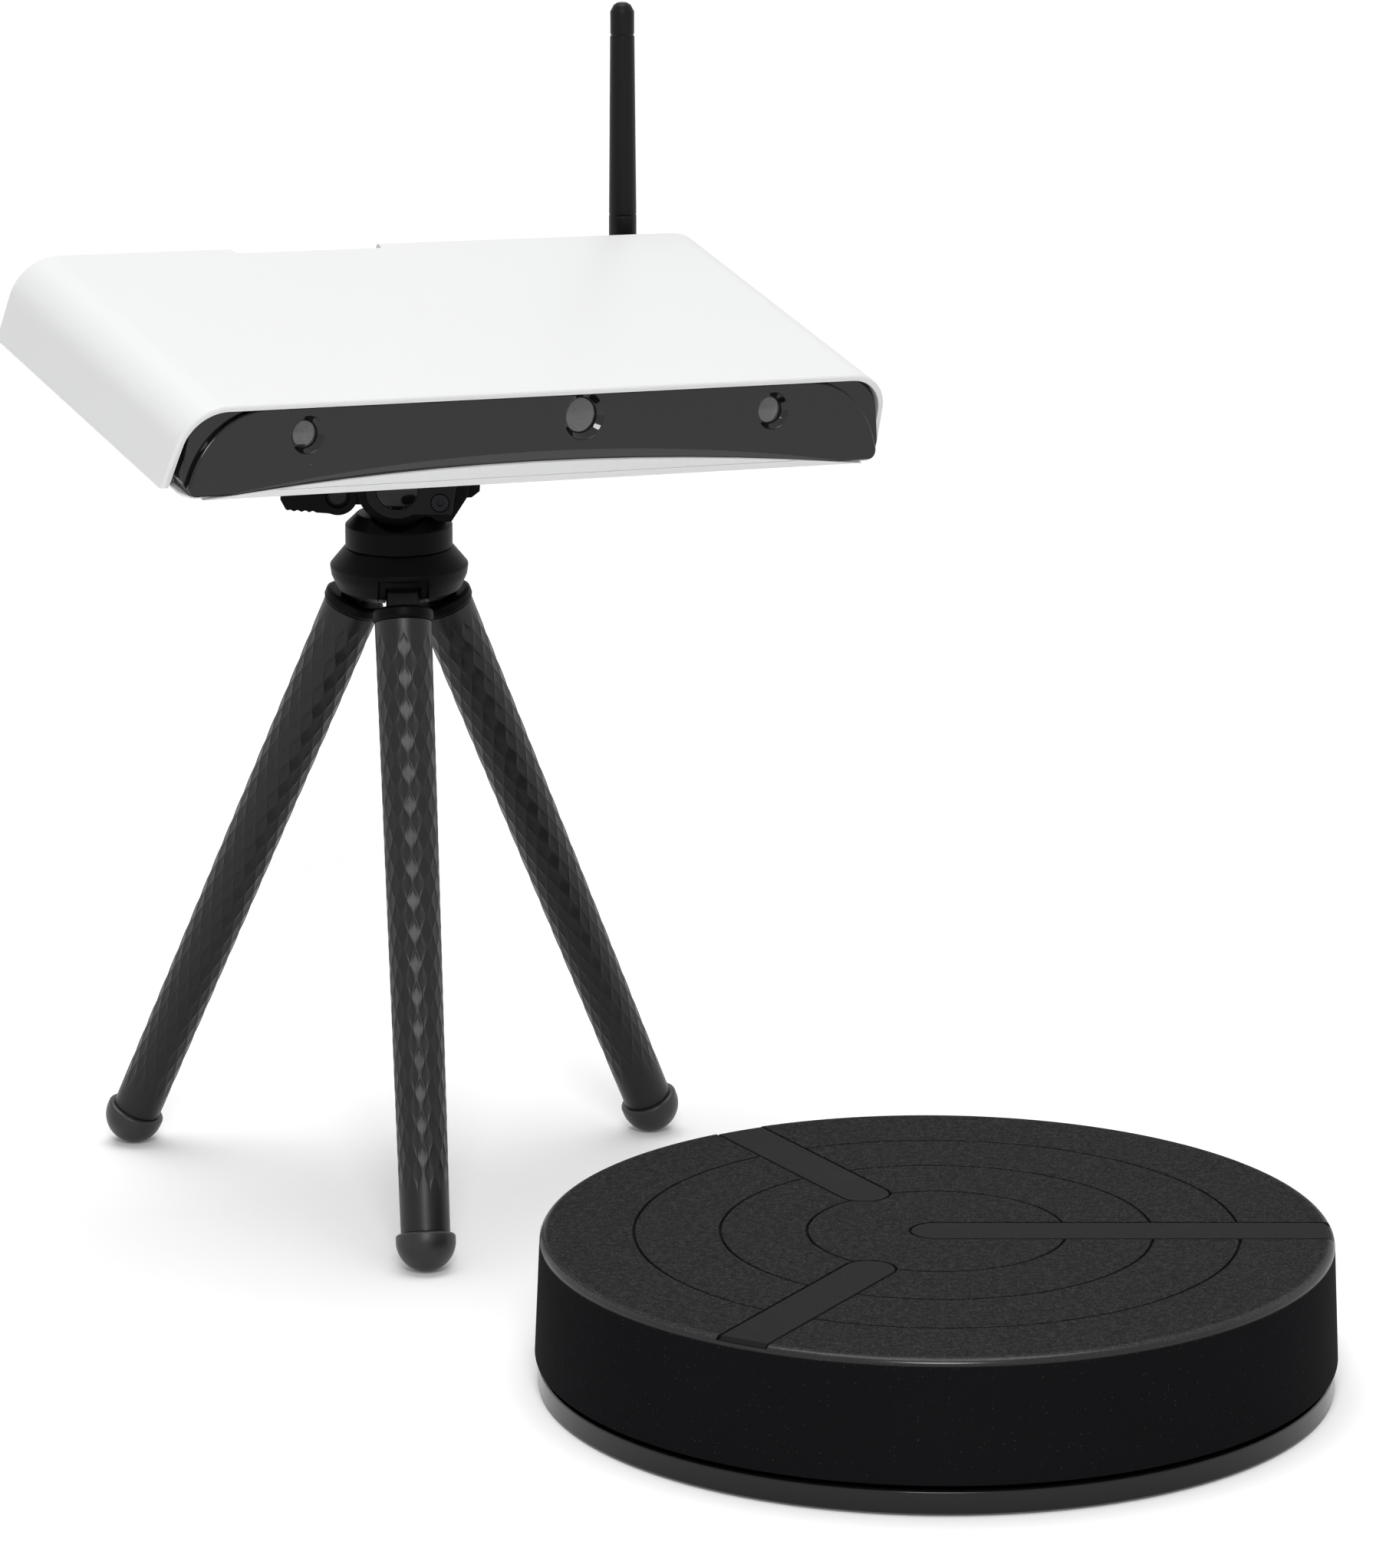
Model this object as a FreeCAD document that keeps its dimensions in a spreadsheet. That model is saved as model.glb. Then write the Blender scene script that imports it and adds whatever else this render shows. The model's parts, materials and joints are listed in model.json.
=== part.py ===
"""Desktop 3d scanner: a sensor head on a flexible-leg tripod, and a motorised turntable."""
import FreeCAD, Part
import Sketcher
import math
import os

V = FreeCAD.Vector
doc = FreeCAD.newDocument("Scanner")
sheet = doc.addObject("Spreadsheet::Sheet", "Dims")

# Driving dimensions, in millimetres, degrees for names ending in _deg, and counts.
# A text that starts with = is worked out from the ones above it.
DIMS = [
    # layout on the table: the origin is the middle of the whole set's footprint
    ("hub_x", -87.8), ("hub_y", 113.6), ("table_x", 92.2), ("table_y", -105.0),
    # turntable: its width and height, then what follows from them
    ("table_r", 130.0), ("table_taper", 1.8), ("table_top_r", "=table_r - table_taper"),
    ("table_h", 50.9), ("skirt_t", 3.2), ("top_t", 4.0), ("top_round", 2.4),
    ("base_step", 1.0), ("base_r", "=table_r - base_step"), ("base_top", 8.3),
    ("skirt_gap", 2.0), ("skirt_z", "=base_top + skirt_gap"), ("base_low", 0.8),
    ("base_t", 3.0), ("ring_t", 3.0), ("pad_r", 7.0), ("pad_in", 21.0),
    ("pad_circle", "=base_r - pad_in"), ("ring_1", 41.9), ("ring_2", 69.9), ("ring_3", 97.8),
    ("groove_w", 0.5), ("strip_w", 16.8), ("strip_deep", 1.2), ("strip_start", 45.4),
    ("spindle_r", 6.0), ("bearing_r", 14.0), ("bearing_h", 8.0), ("boss_h", 8.9),
    ("boss_z", "=table_h - top_t - boss_h"), ("collar_room", 6.0),
    ("bearing_z", "=boss_z - collar_room - bearing_h"), ("gear_t", 4.0), ("gear_m", 1.0),
    ("idler_teeth", 40), ("pinion_teeth", 12), ("motor_w", 35.0), ("motor_h", 22.0),
    ("motor_in", 25.0),
    ("drive_teeth", "=round(2 * (base_r - ring_t - motor_in) / gear_m) - 2 * idler_teeth"
                    " - pinion_teeth"),
    ("train_deg", 150.0), ("run", 0.05),
    # tripod: leg_z is the height of the hinges, and the rest stacks on it
    ("leg_z", 216.0), ("hub_r", 23.9), ("hub_below", 5.2), ("hub_low", "=leg_z - hub_below"),
    ("hub_above", 4.7), ("hub_wide_z", "=leg_z + hub_above"), ("neck_h", 7.0),
    ("collar_z", "=hub_wide_z + neck_h"), ("collar_r", 18.5), ("collar_h", 7.7),
    ("shoulder_z", "=collar_z + collar_h"), ("shoulder_h", 4.0),
    ("collar_top", "=shoulder_z + shoulder_h"), ("bolt_r", 4.0), ("leg_r", 13.2),
    ("leg_1_deg", -84.1), ("leg_2_deg", 32.6), ("leg_3_deg", 157.0), ("tilt_1_deg", 24.2),
    ("tilt_2_deg", 23.3), ("tilt_3_deg", 24.4), ("tongue_w", 10.9), ("slot_gap", 0.6),
    ("slot_w", "=tongue_w + slot_gap"), ("recess_w", 16.8), ("recess_t", 0.8), ("recess_above", 3.9),
    ("slot_above", 1.4), ("slot_top", "=leg_z + slot_above"), ("leg_pin_r", 1.5),
    ("leg_collar_r", 10.5), ("leg_collar_h", 4.6), ("leg_neck", 7.9), ("sleeve_r1", 9.8),
    ("sleeve_r2", 8.4), ("core_r", 3.0), ("foot_r", 10.2), ("foot_lap", 2.8),
    # ball head: everything round the ball follows its radius
    ("ball_r", 10.5), ("liner_t", 1.0), ("shell_t", 2.7), ("drum_r", "=ball_r + liner_t + shell_t"),
    ("cradle", 3.1), ("ball_z", "=collar_top + drum_r - cradle"), ("drum_front", 9.0),
    ("cap_t", 1.7), ("drum_back", "=ball_r + liner_t + cap_t"), ("cheek_in", 3.4),
    ("cheek_r", "=drum_r - cheek_in"), ("badge_in", 3.4), ("badge_r", "=cheek_r - badge_in"),
    ("cam_r", 6.9), ("cam_bite", 0.5), ("lever_x", "=cam_bite - drum_r - cam_r"),
    ("lever_drop", 3.6), ("lever_z", "=ball_z - lever_drop"), ("lever_len", 19.3),
    ("lever_w", 16.0), ("ear_w", 6.0), ("lug_in", 0.5), ("lug_x", "=drum_r + lug_in"),
    ("lug_drop", 5.0), ("lug_z", "=ball_z - lug_drop"), ("stem_r", 4.0), ("stem_len", 24.0),
    ("plate_r", 17.0), ("plate_h", 7.5), ("rubber_t", 1.5), ("thread_r", 3.175),
    # sensor head and its stance on the ball
    ("yaw_deg", 31.6), ("pitch_deg", 14.18), ("roll_deg", 4.06), ("head_dx", 8.2),
    ("head_dy", -5.7), ("head_w", 282.4), ("head_taper", 7.6),
    ("head_top_w", "=head_w - head_taper"), ("head_d", 125.0), ("head_h", 30.9),
    ("head_round", 16.3), ("wall", 2.0), ("rake", 3.1), ("seam", 0.25), ("face_back", 1.5),
    ("face_top_y", "=head_d / 2 - face_back"), ("face_jut", 7.0),
    ("face_low_y", "=face_top_y + face_jut"), ("face_in", 6.8), ("face_w", "=head_w - face_in"),
    ("face_top_w", "=head_top_w - face_in"), ("panel_deep", 7.0),
    ("panel_back", "=face_top_y - panel_deep"), ("sill", 0.9), ("chin_in", 22.4),
    ("chin_w", "=head_w - chin_in"), ("chin_h", 6.5), ("eye_x", 91.5), ("eye_r", 5.7),
    ("eye_gap", 3.8), ("eye_z", "=head_h - wall - eye_r - eye_gap"), ("lamp_x", 15.5),
    ("lamp_r", 7.0), ("lamp_gap", 1.0), ("lamp_z", "=head_h - wall - lamp_r - lamp_gap"),
    ("face_t", 2.5), ("notch_x", -27.0), ("notch_w", 58.0), ("notch_d", 4.0),
    ("board_z", 6.0), ("board_t", 1.6), ("board_in", 114.4), ("board_w", "=head_w - board_in"),
    ("back_in", 2.5), ("back_y", "=head_d / 2 - back_in"), ("back_t", 2.5),
    ("button_in", 79.2), ("button_x", "=button_in - head_w / 2"), ("button_z", 17.0),
    ("button_r", 5.0), ("aerial_in", 27.9), ("aerial_x", "=head_w / 2 - aerial_in"),
    ("aerial_out", 11.5), ("aerial_y", "=head_d / 2 + aerial_out"), ("aerial_z", 14.0),
    ("aerial_r1", 4.9), ("aerial_r2", 4.25), ("aerial_len", 94.0),
]


class Term:
    """A length that knows both its formula, for the document, and its present value."""

    def __init__(self, text, value):
        self.text, self.value = text, value

    def __add__(self, other):
        other = term(other)
        return Term(f"({self.text} + {other.text})", self.value + other.value)

    def __sub__(self, other):
        other = term(other)
        return Term(f"({self.text} - {other.text})", self.value - other.value)

    def __mul__(self, other):
        other = term(other)
        return Term(f"({self.text} * {other.text})", self.value * other.value)

    def __truediv__(self, other):
        other = term(other)
        return Term(f"({self.text} / {other.text})", self.value / other.value)

    def __radd__(self, other):
        return term(other) + self

    def __rsub__(self, other):
        return term(other) - self

    def __rmul__(self, other):
        return term(other) * self

    def __neg__(self):
        return Term(f"(0 - {self.text})", -self.value)


def term(value):
    """The value as a Term, whether it is one already or a plain number."""
    return value if isinstance(value, Term) else Term(f"({float(value):.6f})", float(value))


class Dimensions:
    """The spreadsheet's cells by name: D.head_w is the Term of the cell head_w."""


D = Dimensions()
for row, (cell_name, cell_value) in enumerate(DIMS, start=1):
    sheet.set(f"A{row}", cell_name)
    sheet.set(f"B{row}", str(cell_value))
    sheet.setAlias(f"B{row}", cell_name)
doc.recompute()
for cell_name, _ in DIMS:
    setattr(D, cell_name, Term(f"Dims.{cell_name}", float(sheet.get(cell_name))))

PARTS = []
ALONG_Y = FreeCAD.Rotation(V(1, 0, 0), 90)       # sketch x, y become x, z; height runs to -y
ALONG_X = FreeCAD.Rotation(V(1, 1, 1), 120)      # sketch x, y become y, z; height runs to +x
UPRIGHT = FreeCAD.Rotation()


def bind(obj, prop, value):
    """Set a property to a term's value and tie it to the term's formula."""
    value = term(value)
    if "." not in prop:
        setattr(obj, prop, value.value)
    obj.setExpression(prop, value.text)


def place(obj, at=(0, 0, 0), turn=UPRIGHT):
    """Put an object at a position made of terms, with a fixed turn."""
    obj.Placement = FreeCAD.Placement(V(*[term(c).value for c in at]), turn)
    for axis, value in zip("xyz", at):
        if isinstance(value, Term):
            bind(obj, f"Placement.Base.{axis}", value)
    return obj


def box(sx, sy, sz, at=(0, 0, 0), turn=UPRIGHT):
    """A block whose low corner is at the given point."""
    obj = doc.addObject("Part::Box", "Block")
    for prop, value in (("Length", sx), ("Width", sy), ("Height", sz)):
        bind(obj, prop, value)
    return place(obj, at, turn)


def mid_box(sx, sy, sz, at=(0, 0, 0)):
    """A block centred in x and y on the given point, standing on its z."""
    x, y, z = (term(c) for c in at)
    return box(sx, sy, sz, (x - term(sx) / 2, y - term(sy) / 2, z))


def rod(radius, length, at=(0, 0, 0), turn=UPRIGHT):
    """A cylinder from the given point, along z before its turn."""
    obj = doc.addObject("Part::Cylinder", "Rod")
    bind(obj, "Radius", radius)
    bind(obj, "Height", length)
    return place(obj, at, turn)


def cone(r1, r2, length, at=(0, 0, 0), turn=UPRIGHT):
    """A cone frustum from the given point."""
    obj = doc.addObject("Part::Cone", "Cone")
    for prop, value in (("Radius1", r1), ("Radius2", r2), ("Height", length)):
        bind(obj, prop, value)
    return place(obj, at, turn)


def globe(radius, at=(0, 0, 0)):
    """A ball about the given point."""
    obj = doc.addObject("Part::Sphere", "Globe")
    bind(obj, "Radius", radius)
    return place(obj, at)


def cut(base, *tools):
    """The base less every tool."""
    obj = doc.addObject("Part::Cut", "Cut")
    obj.Base, obj.Tool, obj.Refine = base, tools[0] if len(tools) == 1 else fuse(*tools), False
    return obj


def fuse(*shapes):
    """All the shapes as one."""
    obj = doc.addObject("Part::MultiFuse", "Join")
    obj.Shapes, obj.Refine = list(shapes), False
    return obj


def common(*shapes):
    """What all the shapes share."""
    obj = doc.addObject("Part::MultiCommon", "Share")
    obj.Shapes, obj.Refine = list(shapes), False
    return obj


def outline(body, points, plane):
    """A closed sketch on one of the body's planes, each corner tied to its pair of terms."""
    sketch = body.newObject("Sketcher::SketchObject", "Outline")
    origin = [o for o in body.Origin.OriginFeatures if o.Role == plane][0]
    sketch.AttachmentSupport, sketch.MapMode = (origin, [""]), "FlatFace"
    points = [(term(x), term(y)) for x, y in points]
    flat = [V(x.value, y.value, 0) for x, y in points]
    count = len(flat)
    for i in range(count):
        sketch.addGeometry(Part.LineSegment(flat[i], flat[(i + 1) % count]), False)
    for i in range(count):
        sketch.addConstraint(Sketcher.Constraint("Coincident", i, 2, (i + 1) % count, 1))
    for i, (x, y) in enumerate(points):
        for kind, value in (("DistanceX", x), ("DistanceY", y)):
            index = sketch.addConstraint(Sketcher.Constraint(kind, i, 1, value.value))
            if "Dims." in value.text:
                sketch.setExpression(f"Constraints[{index}]", value.text)
    return sketch


def round_edges(body, picks):
    """Fillet the edges that each pick's test finds, with each pick's radius."""
    for test, radius in picks:
        doc.recompute()
        last = body.Tip
        names = [f"Edge{i + 1}" for i, edge in enumerate(last.Shape.Edges) if test(edge)]
        fillet = body.newObject("PartDesign::Fillet", "Round")
        fillet.Base = (last, names)
        bind(fillet, "Radius", radius)
        body.Tip = fillet


def prism(points, height, at=(0, 0, 0), turn=UPRIGHT, rounds=()):
    """A flat outline pulled straight up; rounds are (corner number, radius)."""
    body = doc.addObject("PartDesign::Body", "Prism")
    pad = body.newObject("PartDesign::Pad", "Pull")
    pad.Profile = outline(body, points, "XY_Plane")
    bind(pad, "Length", height)
    body.Tip = pad
    for corner, radius in rounds:
        x, y = (term(c).value for c in points[corner])

        def upright(edge, x=x, y=y):
            ends = [v.Point for v in edge.Vertexes]
            return len(ends) == 2 and all(math.hypot(p.x - x, p.y - y) < 1e-4 for p in ends)

        round_edges(body, [(upright, radius)])
    return place(body, at, turn)


def lathe(points, at=(0, 0, 0), turn=UPRIGHT, rounds=()):
    """A half profile of (radius, height) corners turned about z; rounds as for a prism."""
    body = doc.addObject("PartDesign::Body", "Turned")
    spin = body.newObject("PartDesign::Revolution", "Spin")
    sketch = outline(body, points, "XZ_Plane")
    spin.Profile, spin.ReferenceAxis, spin.Angle = sketch, (sketch, ["V_Axis"]), 360.0
    body.Tip = spin
    for corner, radius in rounds:
        r, z = (term(c).value for c in points[corner])

        def hoop(edge, r=r, z=z):
            curve = edge.Curve
            return (curve.TypeId == "Part::GeomCircle" and abs(curve.Radius - r) < 1e-4
                    and abs(curve.Center.z - z) < 1e-4)

        round_edges(body, [(hoop, radius)])
    return place(body, at, turn)


def part(label, obj, frame=None):
    """Name a finished piece, and carry it into the frame of the assembly it belongs to."""
    if frame is not None:
        for axis in "xyz":
            obj.setExpression(f"Placement.Base.{axis}", None)
        doc.recompute()
        obj.Placement = frame.multiply(obj.Placement)
    obj.Label = label
    PARTS.append(obj)
    return obj


RUN = D.run
TABLE = FreeCAD.Placement(V(D.table_x.value, D.table_y.value, 0), UPRIGHT)
HUB = FreeCAD.Placement(V(D.hub_x.value, D.hub_y.value, 0), UPRIGHT)
STANCE = (FreeCAD.Rotation(V(0, 0, 1), D.yaw_deg.value)
          * FreeCAD.Rotation(V(1, 0, 0), D.pitch_deg.value)
          * FreeCAD.Rotation(V(0, 1, 0), D.roll_deg.value))
BALL = HUB.multiply(FreeCAD.Placement(V(0, 0, D.ball_z.value), STANCE))
PLATE_TOP = D.stem_len + D.plate_h + D.rubber_t
HEAD = BALL.multiply(FreeCAD.Placement(
    V(D.head_dx.value, D.head_dy.value, PLATE_TOP.value), UPRIGHT))


# ---------------------------------------------------------------- turntable

def gear(teeth, module, thickness, bore, z, centre, phase_deg):
    """A spur gear with involute flanks: teeth are pulled from their own closed outline."""
    pitch, base = teeth * module / 2, teeth * module / 2 * math.cos(math.radians(20))
    tip, root = pitch + 0.92 * module, pitch - 1.25 * module
    play = 0.07 * module
    half = math.pi / (2 * teeth) - play / pitch

    def spread(radius):
        ratio = min(1.0, base / max(radius, base))
        angle = math.acos(ratio)
        return math.tan(angle) - angle

    points = []
    steps = [max(base, root) + (tip - max(base, root)) * k / 4 for k in range(5)]
    for tooth in range(teeth):
        mid = math.radians(phase_deg) + 2 * math.pi * tooth / teeth
        rise = [(root, -(half + spread(pitch)))]
        rise += [(r, -(half + spread(pitch) - spread(r))) for r in steps]
        for r, a in rise + [(r, -a) for r, a in reversed(rise)]:
            points.append(V(r * math.cos(mid + a), r * math.sin(mid + a), 0))
    face = Part.Face(Part.makePolygon(points + points[:1]))
    blank = doc.addObject("Part::Feature", "Teeth")
    blank.Shape = face.extrude(V(0, 0, thickness))
    blank.Placement = FreeCAD.Placement(V(*centre, z), UPRIGHT)
    return cut(blank, rod(bore, thickness + 2, (centre[0], centre[1], z - 1)))


def build_turntable():
    """Base, spindle on its bearing, drum-shaped platter, and the gear train that turns it."""
    under = D.table_h - D.top_t
    skirt_in = D.table_r - D.skirt_t
    gear_z = under - D.gear_t
    tower = D.bearing_r + 4
    # a floor pan with an upright ring, and a tower that holds the bearing
    pan = lathe([(0, D.base_low + 0.7), (D.base_r - 2, D.base_low + 0.7), (D.base_r, D.base_low),
                 (D.base_r, D.base_top), (D.base_r - D.ring_t, D.base_top),
                 (D.base_r - D.ring_t, D.base_low + D.base_t),
                 (tower, D.base_low + D.base_t), (tower, D.bearing_z + D.bearing_h),
                 (D.bearing_r, D.bearing_z + D.bearing_h), (D.bearing_r, D.bearing_z),
                 (D.spindle_r + 3, D.bearing_z), (D.spindle_r + 3, D.base_low + D.base_t),
                 (0, D.base_low + D.base_t)], rounds=[(3, 0.8)])
    floor = D.base_low + D.base_t
    t = math.radians(D.train_deg.value)
    far = (D.drive_teeth.value + D.idler_teeth.value) * D.gear_m.value / 2
    out = far + (D.idler_teeth.value + D.pinion_teeth.value) * D.gear_m.value / 2
    idler_at = (far * math.cos(t), far * math.sin(t))
    motor_at = (out * math.cos(t), out * math.sin(t))
    shaft_end = under - 0.6
    post = fuse(rod(4.5, gear_z - 0.2 - floor, (idler_at[0], idler_at[1], floor)),
                rod(2.0, shaft_end - floor, (idler_at[0], idler_at[1], floor)))
    motor_low = gear_z - 3 - D.motor_h
    seat = mid_box(D.motor_w - 6, D.motor_w - 6, motor_low - floor, (*motor_at, floor))
    struts = [mid_box(5, 5, 4, (-30 + dx, 60 + dy, floor)) for dx in (-20, 20) for dy in (-12, 12)]
    port = (13.0, D.base_r - 12, D.base_low + 2.2)
    hole = box(9.4, 14, 3.8, (port[0] - 4.7, port[1], port[2] - 0.2))
    pads_at = [(D.pad_circle.value * math.cos(math.radians(a)),
                D.pad_circle.value * math.sin(math.radians(a))) for a in (45, 135, 225, 315)]
    dents = [rod(D.pad_r + 0.1, D.base_low + 1.2, (x, y, 0)) for x, y in pads_at]
    part("base_shell", cut(fuse(pan, post, seat, *struts), hole, *dents), TABLE)
    part("base_feet", fuse(*[cone(D.pad_r - 0.6, D.pad_r, D.base_low + 1.2, (x, y, 0))
                             for x, y in pads_at]), TABLE)
    part("bearing", cut(rod(D.bearing_r, D.bearing_h, (0, 0, D.bearing_z)),
                        rod(D.spindle_r + RUN, D.bearing_h + 2, (0, 0, D.bearing_z - 1))), TABLE)
    part("spindle", fuse(rod(D.spindle_r, D.boss_z + 6 - (D.bearing_z - 8),
                             (0, 0, D.bearing_z - 8)),
                         rod(D.spindle_r + 2.5, 4, (0, 0, D.bearing_z + D.bearing_h + 0.05))),
         TABLE)
    # the platter: a drum that flares a little towards its open foot
    drum = lathe([(0, D.boss_z + 6), (0, D.table_h), (D.table_top_r, D.table_h),
                  (D.table_r, D.skirt_z), (skirt_in, D.skirt_z),
                  (D.table_top_r - D.skirt_t, under), (14, under), (14, D.boss_z),
                  (D.spindle_r, D.boss_z), (D.spindle_r, D.boss_z + 6)],
                 rounds=[(2, D.top_round), (3, 0.7)])
    rings = [cut(rod(r + D.groove_w / 2, 1, (0, 0, D.table_h - 0.5)),
                 rod(r - D.groove_w / 2, 2, (0, 0, D.table_h - 1)))
             for r in (D.ring_1, D.ring_2, D.ring_3)]

    def strip(angle, start, width, low, high):
        turn = FreeCAD.Rotation(V(0, 0, 1), angle)
        bar = box(D.table_r + 5 - start, width, high - low)
        a = math.radians(angle)
        s, w = term(start).value, term(width).value
        place(bar, (s * math.cos(a) + w / 2 * math.sin(a), s * math.sin(a) - w / 2 * math.cos(a),
                    low), turn)
        nose = rod(width / 2, high - low, (s * math.cos(a), s * math.sin(a), low))
        return fuse(bar, nose)

    bed = D.table_h - D.strip_deep
    runs = ((0.0, 0.0), (120.0, D.strip_start), (240.0, D.strip_start))
    pockets = [strip(a, s, D.strip_w, bed, D.table_h + 1) for a, s in runs]
    inlays = [strip(a, s, D.strip_w - 0.3, bed, D.table_h) for a, s in runs]
    part("platter", cut(cut(drum, *rings), *pockets), TABLE)
    trim = lathe([(0, bed - 1), (D.table_top_r - 0.2, bed - 1), (D.table_top_r - 0.2, D.table_h - 1.6),
                  (D.table_top_r - 2.4, D.table_h), (0, D.table_h)])
    part("platter_strips", common(fuse(*inlays), trim), TABLE)
    # gear train: platter gear, idler on its post, pinion on the motor
    m, thick, th = D.gear_m.value, D.gear_t.value, D.train_deg.value
    z = gear_z.value
    part("platter_gear", gear(int(D.drive_teeth.value), m, thick, 14.0, z, (0.0, 0.0), th), TABLE)
    part("idler_gear", gear(int(D.idler_teeth.value), m, thick - 0.4, 2.0 + RUN.value, z + 0.1,
                            idler_at, th + 180 + 180 / D.idler_teeth.value), TABLE)
    pinion = gear(int(D.pinion_teeth.value), m, thick - 0.4, 2.5, z + 0.1, motor_at, th + 180)
    part("motor_pinion", fuse(pinion, rod(2.5, shaft_end - motor_low - 4,
                                          (*motor_at, motor_low + 4))), TABLE)
    can = cut(fuse(mid_box(D.motor_w, D.motor_w, D.motor_h, (*motor_at, motor_low)),
                   rod(11, 1.6, (*motor_at, motor_low + D.motor_h))),
              rod(2.5 + RUN, 40, (*motor_at, motor_low + 3.9)))
    part("motor", can, TABLE)
    board = fuse(mid_box(56, 40, 1.6, (-30, 60, floor + 4)), mid_box(12, 12, 1.5, (-36, 60, floor + 5.6)),
                 mid_box(8, 16, 6, (-16, 58, floor + 5.6)), rod(4, 9, (-50, 68, floor + 5.6)))
    part("drive_board", board, TABLE)
    shell = cut(box(9.0, 11.5, 3.4, (port[0] - 4.5, port[1], port[2])),
                box(7.8, 6, 2.4, (port[0] - 3.9, port[1] + 6.5, port[2] + 0.5)))
    part("drive_socket", cut(fuse(shell, box(7.0, 8, 0.8, (port[0] - 3.5, port[1] + 3, port[2] + 1.3))),
                             box(12, 8, 3, (port[0] - 6, D.base_r + 0.0, port[2]))), TABLE)


# ---------------------------------------------------------------- tripod and ball head

LEG_DEGREES = [D.leg_1_deg.value, D.leg_2_deg.value, D.leg_3_deg.value]
LEG_TILTS = [D.tilt_1_deg.value, D.tilt_2_deg.value, D.tilt_3_deg.value]


def build_tripod():
    """Hub with three slots, and in each a flexible leg on its hinge pin."""
    flank = [(D.hub_r, D.hub_wide_z + 0.8), (D.hub_r - 0.5, D.hub_wide_z - 2.6),
             (D.hub_r - 2.6, D.hub_low + 2.4), (D.hub_r - 7, D.hub_low)]
    hub = lathe([(D.bolt_r + RUN, D.hub_wide_z - 1.5), (D.bolt_r + RUN, D.collar_z - 0.05),
                 (D.collar_r + 0.3, D.collar_z - 0.05), *flank, (7.4, D.hub_low),
                 (7.4, D.hub_wide_z - 1.5)], rounds=[(3, 1.2), (5, 2.0)])
    # a shallow flat-topped recess round each slot leaves this much of the hub
    inner = [(r - D.recess_t, z) for r, z in flank]
    core = lathe([(0, inner[0][1] + 5), (inner[0][0], inner[0][1] + 5), *inner,
                  (inner[-1][0], D.hub_low - 5), (0, D.hub_low - 5)])
    slots, pins, holes = [], [], []
    for angle in LEG_DEGREES:
        a = math.radians(angle)
        turn = FreeCAD.Rotation(V(0, 0, 1), angle)
        cross = turn * FreeCAD.Rotation(V(1, 0, 0), -90)
        half = D.slot_w.value / 2
        low = D.hub_low.value - 4
        side = D.recess_w.value / 2
        reach, wide = D.leg_r.value, D.tongue_w.value / 2 + 0.25
        start = reach - 5.3
        slots.append(box(30, D.slot_w, D.slot_top - low,
                         (start * math.cos(a) + half * math.sin(a),
                          start * math.sin(a) - half * math.cos(a), low), turn))
        slots.append(cut(box(30, D.recess_w, D.leg_z + D.recess_above - low,
                             (start * math.cos(a) + side * math.sin(a),
                              start * math.sin(a) - side * math.cos(a), low), turn), core))
        # the hinge knuckle of the leg turns inside a round hollow above the slot
        slots.append(rod(4.6, 2 * wide, (reach * math.cos(a) + wide * math.sin(a),
                                         reach * math.sin(a) - wide * math.cos(a), D.leg_z), cross))
        span = half + 2.5
        at = (reach * math.cos(a) + span * math.sin(a), reach * math.sin(a) - span * math.cos(a),
              D.leg_z)
        pins.append(rod(D.leg_pin_r, 2 * span, at, cross))
        holes.append(rod(D.leg_pin_r, 2 * span, at, cross))
    part("tripod_hub", cut(hub, *slots, *holes), HUB)
    part("leg_pins", fuse(*pins), HUB)

    across = FreeCAD.Rotation(V(1, 0, 0), -90)
    half = D.tongue_w / 2
    for k, (angle, tilt) in enumerate(zip(LEG_DEGREES, LEG_TILTS)):
        a = math.radians(angle)
        frame = HUB.multiply(FreeCAD.Placement(
            V(D.leg_r.value * math.cos(a), D.leg_r.value * math.sin(a), D.leg_z.value),
            FreeCAD.Rotation(V(0, 0, 1), angle) * FreeCAD.Rotation(V(0, 1, 0), -tilt)))
        name = f"leg_{k + 1}"
        neck = D.leg_neck
        low = neck + D.leg_collar_h
        middle = (D.leg_z - D.foot_r) / math.cos(math.radians(tilt))
        end = middle - D.foot_lap
        tongue = fuse(rod(3.9, D.tongue_w, (0, -half, 0), across),
                      box(7.0, D.tongue_w, neck + 1, (-3.5, -half, -(neck + 1))))
        ring = lathe([(0, -low), (D.leg_collar_r - 0.6, -low), (D.leg_collar_r, -low + 1.2),
                      (D.leg_collar_r, -neck - 1), (D.leg_collar_r - 1, -neck), (0, -neck)])
        part(name + "_collar", cut(fuse(tongue, ring),
                                   rod(D.leg_pin_r + RUN, D.tongue_w + 2, (0, -half - 1, 0), across),
                                   rod(D.core_r, 4, (0, 0, -low - 1))), frame)
        part(name + "_core", rod(D.core_r, end + 4 - (low - 3), (0, 0, -(end + 4))), frame)
        part(name + "_sleeve", lathe([(D.core_r, -end), (D.core_r, -low - 0.2),
                                      (D.sleeve_r1, -low - 0.2), (D.sleeve_r2, -end)]), frame)
        bulb = lathe([(0, -(middle + D.foot_r)), (D.foot_r, -(middle + D.foot_r)),
                      (D.foot_r, -(end + 0.9)), (D.foot_r - 1, -(end + 0.2)),
                      (D.core_r, -(end + 0.2)), (D.core_r, -(end + 4)), (0, -(end + 4))])
        cap = fuse(globe(D.foot_r, (0, 0, -middle)), rod(D.foot_r, middle - end, (0, 0, -middle)))
        part(name + "_foot", common(bulb, cap), frame)


def ball_room():
    """What both halves of the clamp leave free: the liner's hollow and the stem's opening."""
    middle = (0, 0, D.ball_z)
    return [globe(D.ball_r + D.liner_t + RUN, middle), cone(0, 50, 33, middle)]


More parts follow.
